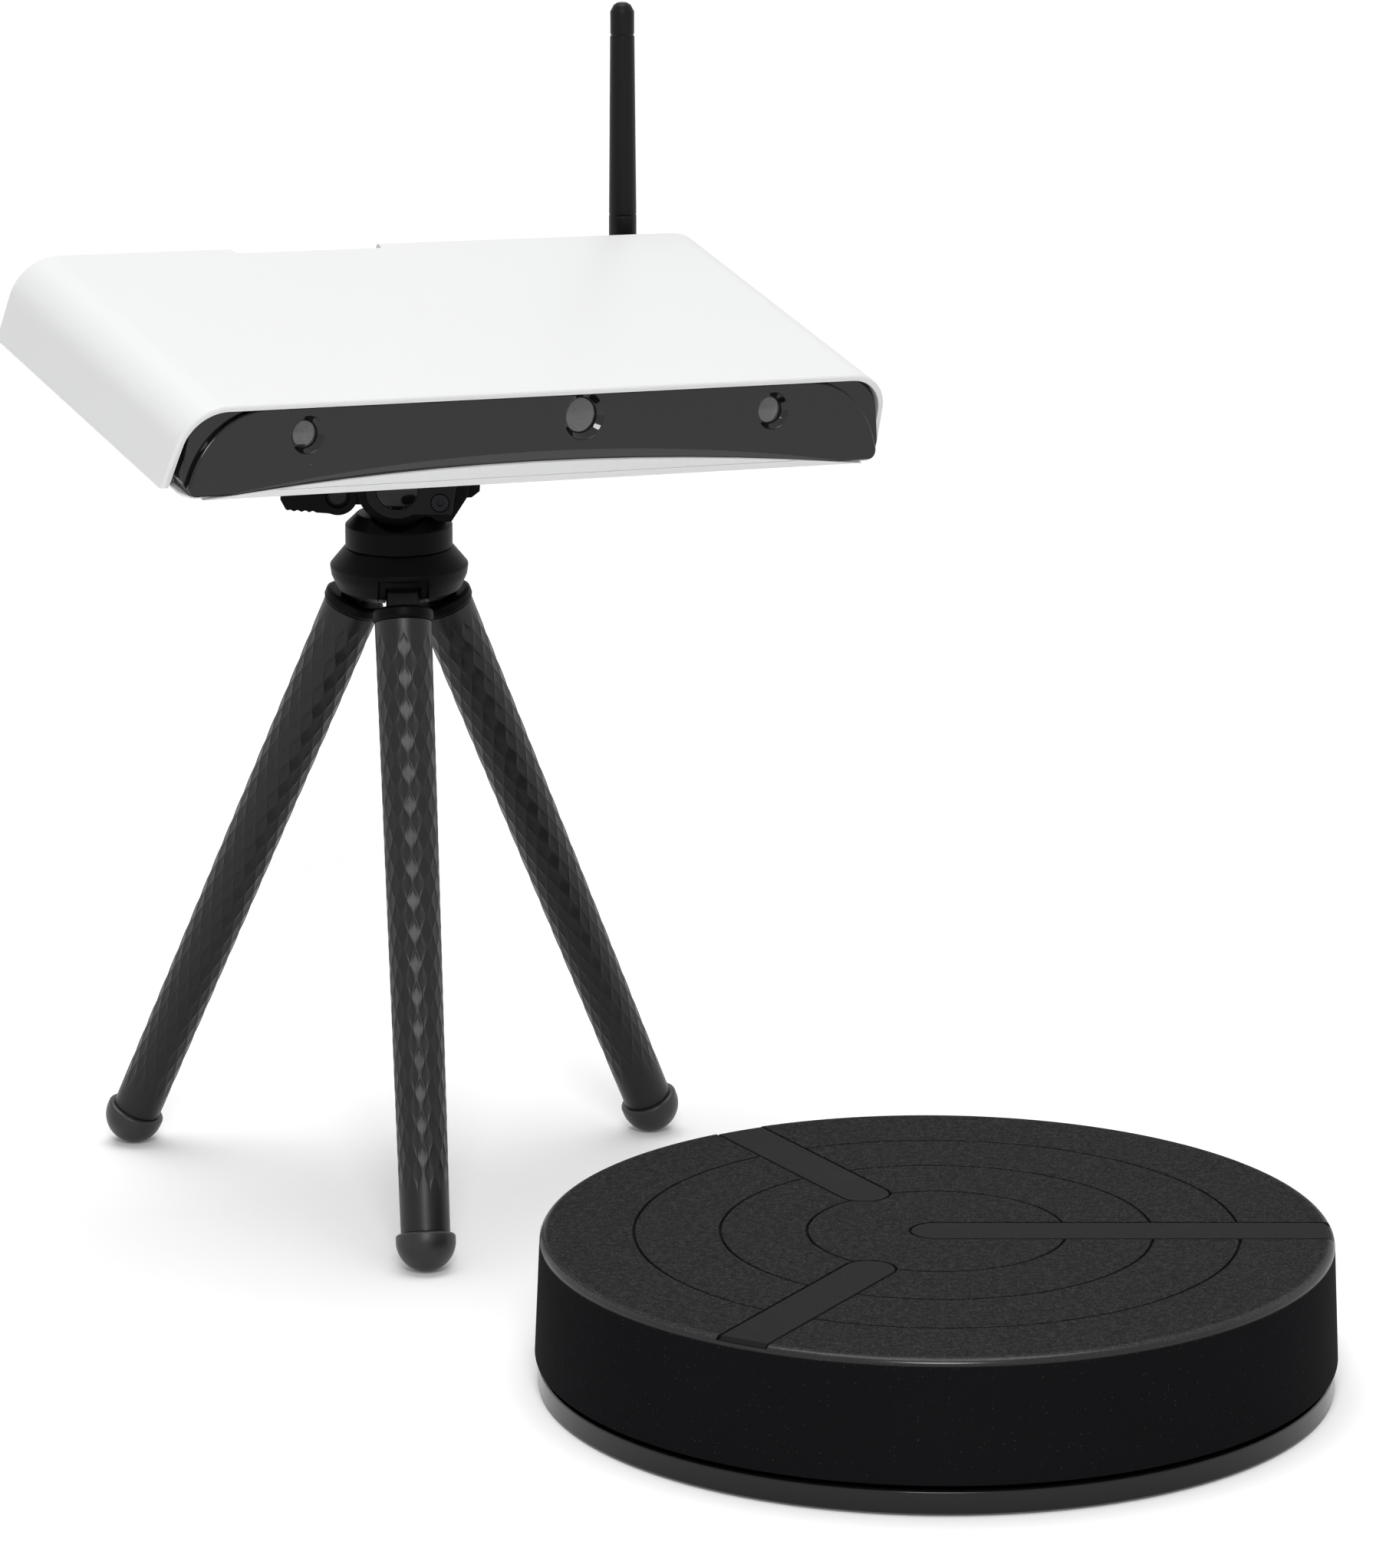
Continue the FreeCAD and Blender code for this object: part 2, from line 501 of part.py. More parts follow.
def build_ball_head():
    """Panning collar, split clamp with its cam lever, and the ball with its platform."""
    c = D.ball_z
    drum = rod(D.drum_r, D.drum_front + D.drum_back, (0, D.drum_back, c), ALONG_Y)
    collar = lathe([(D.bolt_r, D.collar_z), (D.collar_r, D.collar_z), (D.collar_r, D.shoulder_z),
                    (D.drum_r + 0.2, D.collar_top), (D.bolt_r, D.collar_top)], rounds=[(2, 0.8)])
    # the collar cradles the clamp's round body; the bolt holds both to the hub
    part("pan_collar", cut(collar, rod(D.drum_r, 60, (0, 30, c), ALONG_Y)), HUB)
    well = c - D.ball_r - D.liner_t - 1.6
    part("pan_bolt", fuse(rod(D.bolt_r, well - D.hub_wide_z + 1.55, (0, 0, D.hub_wide_z - 1.55)),
                          rod(7.0, 4.5, (0, 0, D.hub_wide_z - 6.05))), HUB)
    e = D.drum_r
    lug = prism([(8, c - 12.6), (e + 4.2, c - 12.6), (e + 9.7, c - 4.0), (e + 10.4, c + 2),
                 (e + 7.8, c + 9), (8, c + 9)], D.drum_front + D.drum_back - 5,
                (0, D.drum_back - 5, 0), ALONG_Y, [(1, 1.0), (2, 3.0), (3, 3.0), (4, 2.0)])
    over_collar = lathe([(0, D.collar_z), (D.collar_r + 0.05, D.collar_z),
                         (D.collar_r + 0.05, D.shoulder_z + 0.05),
                         (D.drum_r + 0.25, D.collar_top + 0.05), (0, D.collar_top + 0.05)])
    ear = fuse(box(D.lever_x * -1 - 6, D.ear_w, 8.6, (D.lever_x, -D.ear_w / 2, D.lever_z - 4.3)),
               rod(4.3, D.ear_w, (D.lever_x, D.ear_w / 2, D.lever_z), ALONG_Y))
    # the cam turns in a round relief on both sides of the ear
    relief = cut(rod(D.cam_r + 0.3, D.lever_w + 0.6, (D.lever_x, D.lever_w / 2 + 0.3, D.lever_z),
                     ALONG_Y), box(24, D.ear_w, 40, (D.lever_x - 12, -D.ear_w / 2, D.lever_z - 20)))
    body = cut(fuse(drum, cut(lug, over_collar), ear), *ball_room(), relief,
               rod(2.0, 40, (D.lever_x, 20, D.lever_z), ALONG_Y),
               rod(1.5, 20, (D.lug_x, 5, D.lug_z), ALONG_Y),
               box(12, 6.2, 8.3, (e + 1.6, -2.1, c - 6.2)), rod(D.bolt_r, 6, (0, 0, well - 6)))
    part("clamp_body", body, HUB)
    front = D.drum_front + 0.05
    cheek = fuse(rod(D.cheek_r, D.drum_back - front, (0, -front, c), ALONG_Y),
                 prism([(0, c - 9.3), (e + 4.4, c - 9.3), (e + 6.8, c + 5), (e + 2.8, c + 8.5),
                        (0, c + 8.5)], D.drum_back - front, (0, -front, 0), ALONG_Y,
                       [(1, 1.5), (2, 1.5), (3, 1.5)]))
    part("front_cheek", cut(cheek, *ball_room(),
                            rod(1.5, 20, (D.lug_x, 5, D.lug_z), ALONG_Y),
                            rod(3.1, 2, (D.lug_x, -D.drum_back + 1.6, D.lug_z), ALONG_Y)), HUB)
    dome = common(globe(13.0, (0, 10.6 - D.drum_back, c)),
                  rod(D.badge_r, 6, (0, -D.drum_back, c), ALONG_Y))
    part("badge_cap", dome, HUB)
    part("hinge_screw", cut(fuse(rod(1.5, D.drum_back - 1.2, (D.lug_x, -1, D.lug_z), ALONG_Y),
                                 rod(3.0, 1.5, (D.lug_x, -D.drum_back + 1.6, D.lug_z), ALONG_Y)),
                            rod(1.2, 2, (D.lug_x, -D.drum_back + 0.9, D.lug_z), ALONG_Y)), HUB)
    # cam lever: a finger with ridges under it, forked over the clamp's ear
    x0, z0 = D.lever_x, D.lever_z
    tip = x0 - D.lever_len
    finger = prism([(tip, z0 + 6.0), (tip - 0.4, z0 - 1.4), (tip + 1.6, z0 - 5.3), (x0 - 3, z0 - 6.3),
                    (x0, z0 - 1), (x0, z0 + 6.9), (x0 - 8, z0 + 7.2)], D.lever_w,
                   (0, D.lever_w / 2, 0), ALONG_Y, [(0, 2.0), (1, 1.0), (2, 2.0)])
    ridges = [rod(1.1, D.lever_w, (tip + 2.9 + 2.6 * k, D.lever_w / 2, z0 - 6.1 - 0.15 * k), ALONG_Y)
              for k in range(4)]
    cam = rod(D.cam_r, D.lever_w, (x0, D.lever_w / 2, z0), ALONG_Y)
    part("lock_lever", cut(fuse(finger, cam), box(14, D.ear_w + 0.3, 30, (x0 - 6, -D.ear_w / 2 - 0.15,
                                                                         z0 - 15)),
                           rod(2.0 + RUN, 40, (x0, 20, z0), ALONG_Y),
                           rod(4.2, 2, (x0, -D.lever_w / 2 + 1.2, z0), ALONG_Y), *ridges), HUB)
    part("lever_pin", fuse(rod(2.0, D.lever_w - 1.15, (x0, D.lever_w / 2, z0), ALONG_Y),
                           rod(3.1, 0.9, (x0, -D.lever_w / 2 + 1.15, z0), ALONG_Y)), HUB)
    part("release_tab", prism([(e + 3.8, c - 5.9), (e + 11.0, c - 5.6), (e + 13.8, c - 3.4),
                               (e + 13.8, c + 1.8), (e + 3.8, c + 1.8)], 6.0, (0, 4.0, 0), ALONG_Y,
                              [(3, 0.6)]), HUB)
    shell = cut(globe(D.ball_r + D.liner_t), globe(D.ball_r + 0.03),
                box(60, 60, 30, (-30, -30, 5.0)), box(60, 60, 30, (-30, -30, -37.5)))
    part("ball_liner", shell, BALL)
    part("ball", fuse(globe(D.ball_r), rod(D.stem_r, D.stem_len + 3)), BALL)
    plate = cut(lathe([(0, D.stem_len), (D.plate_r - 4, D.stem_len), (D.plate_r, D.stem_len + 2.5),
                       (D.plate_r, D.stem_len + D.plate_h), (0, D.stem_len + D.plate_h)]),
                rod(D.stem_r, 6, (0, 0, D.stem_len - 3)),
                rod(D.thread_r, 20, (0, 0, D.stem_len + 2)))
    part("platform", plate, BALL)
    part("platform_pad", cut(rod(D.plate_r - 0.6, D.rubber_t, (0, 0, D.stem_len + D.plate_h)),
                             rod(D.thread_r, 20, (0, 0, D.stem_len + 2))), BALL)
    part("platform_screw", rod(D.thread_r, PLATE_TOP + 5.6 - (D.stem_len + 3), (0, 0, D.stem_len + 3)),
         BALL)


# ---------------------------------------------------------------- sensor head

FACE_TILT = math.degrees(math.atan2(D.face_low_y.value - D.face_top_y.value,
                                    D.head_h.value - 2 * D.wall.value))
LEAN = FreeCAD.Rotation(V(1, 0, 0), -FACE_TILT)


def trapezoid(low_w, high_w, low, high):
    """Corner points of an upright trapezoid, centred on the head."""
    return [(-low_w / 2, low), (low_w / 2, low), (high_w / 2, high), (-high_w / 2, high)]


def front_cutter(back):
    """Everything ahead of the leaning front face, set back by a distance."""
    low, high = -10.0, D.head_h + 10
    rise = D.head_h - 2 * D.wall
    slope = (D.face_low_y - D.face_top_y) / rise
    return prism([(-(D.face_low_y + slope * 10) + back, low), (-140, low), (-140, high),
                  (-(D.face_low_y - slope * (D.head_h + 10)) + back, high)],
                 D.head_w + 40, (-D.head_w / 2 - 20, 0, 0), ALONG_X)


def chin_cylinder(shrink):
    """The wide arc between the dark front and the chin below it."""
    half, rise = D.chin_w / 2, D.chin_h - shrink
    radius = (half * half + rise * rise) / (2 * rise)
    return rod(radius, 60, (0, -20, rise - radius), ALONG_Y)


def window(x, z):
    """The frame of one window: its z runs into the head, square to the front face."""
    y = -(D.face_low_y.value - (D.face_low_y.value - D.face_top_y.value) * z.value
          / (D.head_h.value - 2 * D.wall.value))
    return FreeCAD.Placement(V(x.value, y, z.value),
                             LEAN * FreeCAD.Rotation(V(1, 0, 0), -90))


def set_in(obj, frame):
    """Carry a tool into a window's frame."""
    for axis in "xyz":
        obj.setExpression(f"Placement.Base.{axis}", None)
    doc.recompute()
    obj.Placement = frame.multiply(obj.Placement)
    return obj


def build_head():
    """Cover, tray, dark front with three windows, and what sees and thinks behind it."""
    half_d = D.head_d / 2
    hi = D.head_h
    w, tw, t = D.head_w, D.head_top_w, D.wall
    lip = 0.6
    arch = prism([(-w / 2, lip), (-w / 2 + t, lip), (-tw / 2 + t, hi - t), (tw / 2 - t, hi - t),
                  (w / 2 - t, lip), (w / 2, lip), (tw / 2, hi), (-tw / 2, hi)],
                 D.head_d, (0, half_d, 0), ALONG_Y,
                 [(2, D.head_round - t), (3, D.head_round - t), (6, D.head_round), (7, D.head_round)])
    rake = prism([(-half_d + D.rake, 0), (-half_d - 5, 0), (-half_d - 5, hi), (-half_d, hi)], w + 20,
                 (-w / 2 - 10, 0, 0), ALONG_X)
    notch = box(D.notch_w, 20, 20, (D.notch_x - D.notch_w / 2, half_d - D.notch_d, hi - 10))
    part("top_cover", cut(arch, rake, notch), HEAD)

    inner_w, inner_tw = w - 2 * t - 2 * D.seam, tw - 2 * t - 2 * D.seam
    back_y = D.back_y
    floor = box(inner_w - 0.6, D.panel_back - D.seam + back_y, t,
                (-inner_w / 2 + 0.3, -D.panel_back + D.seam, 0))
    reach = D.face_low_y - D.panel_back + 1
    chin = common(box(D.chin_w, reach, D.chin_h + 2, (-D.chin_w / 2, -D.face_low_y - 0.1, 0)),
                  chin_cylinder(0.25))
    chin = cut(chin, front_cutter(0))
    brim = D.face_w / 2 - 1.5
    sill = prism([(-brim, -D.face_low_y + 1.6), (brim, -D.face_low_y + 1.6),
                  (brim, -D.panel_back + D.seam), (-brim, -D.panel_back + D.seam)], D.sill,
                 rounds=[(0, 5.0), (1, 5.0)])
    post_x, feet_y = D.board_w / 2 - 6, -(D.panel_back - 10.5)
    posts = [rod(3, D.board_z - t, (x, y, t)) for x in (-post_x, post_x)
             for y in (back_y - 60, back_y - 14)]
    boss = rod(8.5, 8, (-D.head_dx, -D.head_dy, t))
    bench_feet = [mid_box(8, 8, 4, (x, feet_y, t)) for x in (-66, 50)]
    tray = cut(fuse(floor, chin, sill, boss, *posts, *bench_feet), rod(6, 40, (-D.head_dx, -D.head_dy, -1)))
    part("bottom_tray", tray, HEAD)
    part("thread_bush", cut(rod(6, 8, (-D.head_dx, -D.head_dy, 0)),
                            rod(D.thread_r + 0.02, 6.5, (-D.head_dx, -D.head_dy, -0.5))), HEAD)

    # dark front: a hollow wedge, thin at its face, with three round windows
    frames = [window(-D.eye_x, D.eye_z), window(D.lamp_x, D.lamp_z), window(D.eye_x, D.eye_z)]
    radii = [D.eye_r, D.lamp_r, D.eye_r]
    top = hi - t - D.seam

    def wedge(inset, back):
        ahead = 2 if back else 0
        block = prism(trapezoid(D.face_w - 2 * inset, D.face_top_w - 2 * inset,
                                D.sill + 0.1 + inset, top - 0.4 * inset),
                      D.face_low_y - D.panel_back + ahead, (0, -D.panel_back + ahead, 0), ALONG_Y,
                      [(0, 6.0 - inset), (1, 6.0 - inset), (2, 13.0 - inset), (3, 13.0 - inset)])
        return cut(block, front_cutter(back))

    bores = [set_in(fuse(rod(r, 8, (0, 0, -2)), cone(r + 1.5, r - 0.5, 2, (0, 0, -1))), f)
             for r, f in zip(radii, frames)]
    face = cut(wedge(0, 0), wedge(D.face_t.value, D.face_t), chin_cylinder(0), *bores)
    part("front_panel", face, HEAD)

    # each eye: barrel with a glass in its mouth, and a block behind that screws to the bench
    glasses = []
    for name, frame in (("left", frames[0]), ("right", frames[2])):
        barrel = cut(fuse(rod(D.eye_r + 1.6, 8, (0, 0, D.face_t)), mid_box(18, 18, 9, (0, 0, D.face_t + 7))),
                     rod(D.eye_r - 1.2, 5, (0, 0, D.face_t - 1)))
        part(f"camera_{name}", barrel, HEAD.multiply(frame))
        glasses.append(set_in(common(rod(D.eye_r - 1.2, 2.4, (0, 0, 2.0)),
                                     globe(12, (0, 0, 12 + 1.6))), frame))
    part("camera_lenses", fuse(*glasses), HEAD)
    lamp = cut(fuse(rod(D.lamp_r - 0.3, 9, (0, 0, D.face_t)), mid_box(34, 15, 8, (2, 2.6, D.face_t + 8))),
               rod(D.lamp_r - 1.3, 5, (0, 0, D.face_t - 1)))
    part("projector", lamp, HEAD.multiply(frames[1]))
    part("projector_lens", common(rod(D.lamp_r - 1.3, 2.4, (0, 0, 2.0)),
                                  globe(14, (0, 0, 14 + 1.6))), HEAD.multiply(frames[1]))
    build_inside(back_y, feet_y, inner_w, inner_tw)


def build_inside(back_y, feet_y, inner_w, inner_tw):
    """Bench, board, sockets, back panel, button and aerial."""
    hi, t = D.head_h, D.wall
    behind = D.face_t + 16
    bench = set_in(mid_box(D.head_w - 50.4, 15, 3, (0, -1.5, behind)), window(term(0), D.eye_z))
    feet = [mid_box(8, 8, D.eye_z - 7.4 - (t + 4), (x, feet_y, t + 4)) for x in (-66, 50)]
    part("optical_bench", fuse(bench, *feet), HEAD)

    z = D.board_z
    up = z + D.board_t
    sheet_cut = cut(mid_box(D.board_w, 58, D.board_t, (0, back_y - 37, z)),
                    rod(9.0, 9, (-D.head_dx, -D.head_dy, z - 2)))
    chip_y = back_y - 40
    board = fuse(sheet_cut, mid_box(26, 26, 2, (-36, chip_y, up)),
                 mid_box(14, 12, 1.5, (10, chip_y - 10, up)),
                 mid_box(14, 12, 1.5, (30, chip_y - 10, up)),
                 mid_box(10, 6, 5, (54, chip_y - 18, up)),
                 cut(mid_box(12, 9, D.button_z + 6 - up, (D.button_x, back_y - 12.5, up)),
                     rod(2.1, 12, (D.button_x, back_y + 0.5, D.button_z), ALONG_Y)))
    part("main_board", board, HEAD)
    fins = [mid_box(1.4, 34, hi - t - 3.4 - (up + 4.9), (-36 - 16.8 + 4.2 * k, chip_y, up + 4.9))
            for k in range(9)]
    part("heat_sink", fuse(mid_box(36, 34, 3, (-36, chip_y, up + 2)), *fins), HEAD)

    back = prism(trapezoid(inner_w - 0.4, inner_tw - 0.2, t, hi - t - D.seam), D.back_t,
                 (0, back_y, 0), ALONG_Y, [(2, D.head_round - t), (3, D.head_round - t)])
    port_y = back_y - 16
    net = (18.0, 16.0, 13.4)
    usb = (48.0, 13.4, 14.4)
    dc = (-22.0, 9.2, 3.6)
    ports = []
    for x, wide, high in (net, usb, dc):
        ports.append(box(wide + 0.3, 30, high + 0.3, (x - wide / 2 - 0.15, back_y - 10, up - 0.15)))
    vents = [mid_box(1.8, 20, hi - t - 5.9 - 10, (4.5 * k - (D.head_w / 2 - 23.2), back_y, 10))
             for k in range(9)]
    part("back_panel", cut(back, rod(D.button_r + 0.15, 10, (D.button_x, back_y + 2, D.button_z), ALONG_Y),
                           rod(3.2, 10, (D.aerial_x, back_y + 2, D.aerial_z), ALONG_Y),
                           *ports, *vents), HEAD)
    x, wide, high = net
    part("network_socket", cut(box(wide, 17.6, high, (x - wide / 2, port_y, up)),
                               box(11.8, 12, 8.4, (x - 5.9, port_y + 6.6, up + 3.0)),
                               box(6.0, 12, 2.5, (x - 3.0, port_y + 6.6, up + 1.4))), HEAD)
    x, wide, high = usb
    stack = cut(box(wide, 17.6, high, (x - wide / 2, port_y, up)),
                *[box(12.2, 12, 5.2, (x - 6.1, port_y + 6.6, up + lift)) for lift in (1.0, 8.2)])
    tongues = [box(11.0, 9, 1.6, (x - 5.5, port_y + 6, up + lift)) for lift in (3.9, 11.1)]
    part("usb_socket", fuse(stack, *tongues), HEAD)
    x, wide, high = dc
    part("power_socket", fuse(cut(box(wide, 17.6, high, (x - wide / 2, port_y, up)),
                                  box(8.2, 12, 2.6, (x - 4.1, port_y + 8.6, up + 0.5))),
                              box(6.8, 7, 0.8, (x - 3.4, port_y + 8, up + 1.4))), HEAD)
    part("power_button", fuse(rod(D.button_r, 3.6, (D.button_x, back_y + 1.0, D.button_z), ALONG_Y),
                              rod(2.0, 10, (D.button_x, back_y + 0.5, D.button_z), ALONG_Y)), HEAD)
    # screwed aerial: fixed stub, a knuckle that turns on it, and the folding rod
    run_out = D.aerial_y - back_y
    part("aerial_stub", fuse(rod(3.2, 9, (D.aerial_x, back_y + 4.2, D.aerial_z), ALONG_Y),
                             rod(4.6, 2.2, (D.aerial_x, back_y + 2.25, D.aerial_z), ALONG_Y),
                             rod(4.6, 2.2, (D.aerial_x, back_y - D.back_t - 0.05, D.aerial_z), ALONG_Y)),
         HEAD)
    knuckle_at = HEAD.multiply(FreeCAD.Placement(V(D.aerial_x.value, D.aerial_y.value, D.aerial_z.value),
                                                 FreeCAD.Rotation(V(0, 1, 0), -D.roll_deg.value)))
    near = -(run_out - 4.3)
    sleeve = cut(rod(4.7, run_out - 5.3, (0, -1.0, 0), ALONG_Y),
                 rod(3.2 + RUN, 4, (0, near + 3.5, 0), ALONG_Y))
    fork = common(fuse(box(1.6, 9.6, 9.4, (-4.7, -4.8, -4.7)), box(1.6, 9.6, 9.4, (3.1, -4.8, -4.7))),
                  rod(4.7, 12, (0, 6, 0), ALONG_Y))
    axle = rod(1.2, 9.2, (-4.6, 0, 0), FreeCAD.Rotation(V(0, 1, 0), 90))
    base = cut(sleeve, box(6.2, 10, 20, (-3.1, -4.4, -10)))
    part("aerial_knuckle", fuse(base, fork, axle), knuckle_at)
    rod_at = knuckle_at.multiply(FreeCAD.Placement(V(0, 0, 0),
                                                   FreeCAD.Rotation(V(1, 0, 0), -D.pitch_deg.value)))
    blade = fuse(rod(3.9, 5.8, (-2.9, 0, 0), FreeCAD.Rotation(V(0, 1, 0), 90)),
                 mid_box(5.8, 6.8, 7, (0, 0, 0)))
    r1, r2, long = D.aerial_r1, D.aerial_r2, D.aerial_len
    stick = lathe([(0, 6), (r1 - 0.6, 6), (r1, 6.8), (r1, 17.8), (r1 - 0.25, 18), (r1 - 0.25, 18.3),
                   (r1 - 0.02, 18.5), (r2 + 0.08, long - 12), (r2 - 0.25, long - 11.9),
                   (r2 - 0.25, long - 11.2), (r2, long - 11), (r2, long - 3.2), (r2 - 1.2, long - 0.9),
                   (r2 - 2.6, long), (0, long)])
    part("aerial_rod", cut(fuse(blade, stick),
                           rod(1.2 + RUN, 10, (-5, 0, 0), FreeCAD.Rotation(V(0, 1, 0), 90))), rod_at)


build_turntable()
build_tripod()
build_ball_head()
build_head()
doc.recompute()

faults = [f"{o.Label}: {o.State}" for o in doc.Objects if "Invalid" in o.State or "Error" in o.State]
faults += [f"{o.Label}: no valid shape" for o in PARTS if o.Shape.isNull() or not o.Shape.isValid()]
if faults:
    raise RuntimeError("; ".join(faults))
os.makedirs("parts", exist_ok=True)
for obj in PARTS:
    obj.Shape.exportStep(f"parts/{obj.Label}.step")
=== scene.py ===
"""Desktop 3d scanner: the looks of its sensor head, its ball-head tripod and its turntable.

Every class holds the sizes of one sub-assembly in millimetres, builds its pieces on that
sub-assembly's own axes and puts them on the CAD bodies they move with.
"""

import json
import logging
import math
from dataclasses import dataclass
from enum import Enum
from typing import Any, Callable, Iterable, Self, Sequence

import bmesh
import bpy
from mathutils import Matrix, Vector


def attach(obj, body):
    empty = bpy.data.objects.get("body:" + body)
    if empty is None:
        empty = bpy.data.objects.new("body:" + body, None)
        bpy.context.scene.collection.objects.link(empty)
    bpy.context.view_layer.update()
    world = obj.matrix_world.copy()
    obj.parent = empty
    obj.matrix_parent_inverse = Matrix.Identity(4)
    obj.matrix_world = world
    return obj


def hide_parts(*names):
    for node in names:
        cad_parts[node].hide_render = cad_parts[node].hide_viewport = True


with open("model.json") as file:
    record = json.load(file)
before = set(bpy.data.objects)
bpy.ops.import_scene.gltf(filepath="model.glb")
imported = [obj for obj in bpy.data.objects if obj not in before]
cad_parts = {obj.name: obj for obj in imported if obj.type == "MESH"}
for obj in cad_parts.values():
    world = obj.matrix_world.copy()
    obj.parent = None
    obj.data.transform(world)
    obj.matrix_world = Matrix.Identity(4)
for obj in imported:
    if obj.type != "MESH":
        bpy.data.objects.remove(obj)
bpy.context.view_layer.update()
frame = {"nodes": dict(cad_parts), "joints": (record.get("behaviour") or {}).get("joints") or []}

LOG = logging.getLogger("scanner")
MM = 0.001  # one millimetre in Blender's metres
NEAR = 1e-4  # millimetres within which two points are one

Point = tuple[float, float]
Band = tuple[float, float]
Triple = tuple[float, float, float]
Colour = tuple[float, float, float]


# ---------------------------------------------------------------- shader maths


class Level:
    """A number that varies over a surface; Python's operators add the Math nodes."""

    def __init__(self, graph: "Graph", socket: bpy.types.NodeSocket) -> None:
        """Wraps a node's output socket.

        Args:
            graph: The node tree that the socket is in.
            socket: The output that carries the number.
        """
        self.graph = graph
        self.socket = socket

    def _with(self, kind: str, *terms: "Level | float") -> "Level":
        """Adds one Math node.

        Args:
            kind: Its operation.
            *terms: What it works on.

        Returns:
            The node's result.
        """
        values = {i: t.socket if isinstance(t, Level) else t for i, t in enumerate(terms)}
        made = self.graph.node("ShaderNodeMath", {"operation": kind}, values)
        return Level(self.graph, made.outputs[0])

    def __add__(self, other: "Level | float") -> "Level":
        """Sum."""
        return self._with("ADD", self, other)

    def __radd__(self, other: float) -> "Level":
        """Sum, with the number first."""
        return self._with("ADD", other, self)

    def __sub__(self, other: "Level | float") -> "Level":
        """Difference."""
        return self._with("SUBTRACT", self, other)

    def __rsub__(self, other: float) -> "Level":
        """Difference, with the number first."""
        return self._with("SUBTRACT", other, self)

    def __mul__(self, other: "Level | float") -> "Level":
        """Product."""
        return self._with("MULTIPLY", self, other)

    def __rmul__(self, other: float) -> "Level":
        """Product, with the number first."""
        return self._with("MULTIPLY", other, self)

    def __truediv__(self, other: "Level | float") -> "Level":
        """Quotient."""
        return self._with("DIVIDE", self, other)

    def __pow__(self, other: float) -> "Level":
        """Power."""
        return self._with("POWER", self, other)

    def sine(self) -> "Level":
        """The sine of the number."""
        return self._with("SINE", self)

    def at_least(self, other: "Level") -> "Level":
        """The greater of two numbers."""
        return self._with("MAXIMUM", self, other)

    def above(self, low: float, high: float) -> "Level":
        """Runs smoothly from 0 to 1 between two values.

        Args:
            low: The value at which it is still 0.
            high: The value at which it reaches 1.

        Returns:
            The mask.
        """
        made = self.graph.node("ShaderNodeMapRange", {"interpolation_type": "SMOOTHSTEP"},
                               {"Value": self.socket, "From Min": low, "From Max": high})
        return Level(self.graph, made.outputs["Result"])


class Graph:
    """A node tree in the making."""

    def __init__(self, owner: bpy.types.Material | bpy.types.World) -> None:
        """Empties the node tree of a material or a world.

        Args:
            owner: The material or the world.
        """
        owner.use_nodes = True
        self.tree = owner.node_tree
        self.tree.nodes.clear()

    def node(self, kind: str, settings: dict[str, Any] | None = None,
             values: dict[str | int, Any] | None = None) -> bpy.types.Node:
        """Adds any node.

        Args:
            kind: The node's type.
            settings: Its properties, such as a Math node's operation, which are set first.
            values: Its input sockets by name or place: a socket to link, or a constant.

        Returns:
            The new node.
        """
        made = self.tree.nodes.new(kind)
        for key, value in (settings or {}).items():
            setattr(made, key, value)
        for key, value in (values or {}).items():
            if isinstance(value, bpy.types.NodeSocket):
                self.tree.links.new(value, made.inputs[key])
            else:
                made.inputs[key].default_value = value
        return made


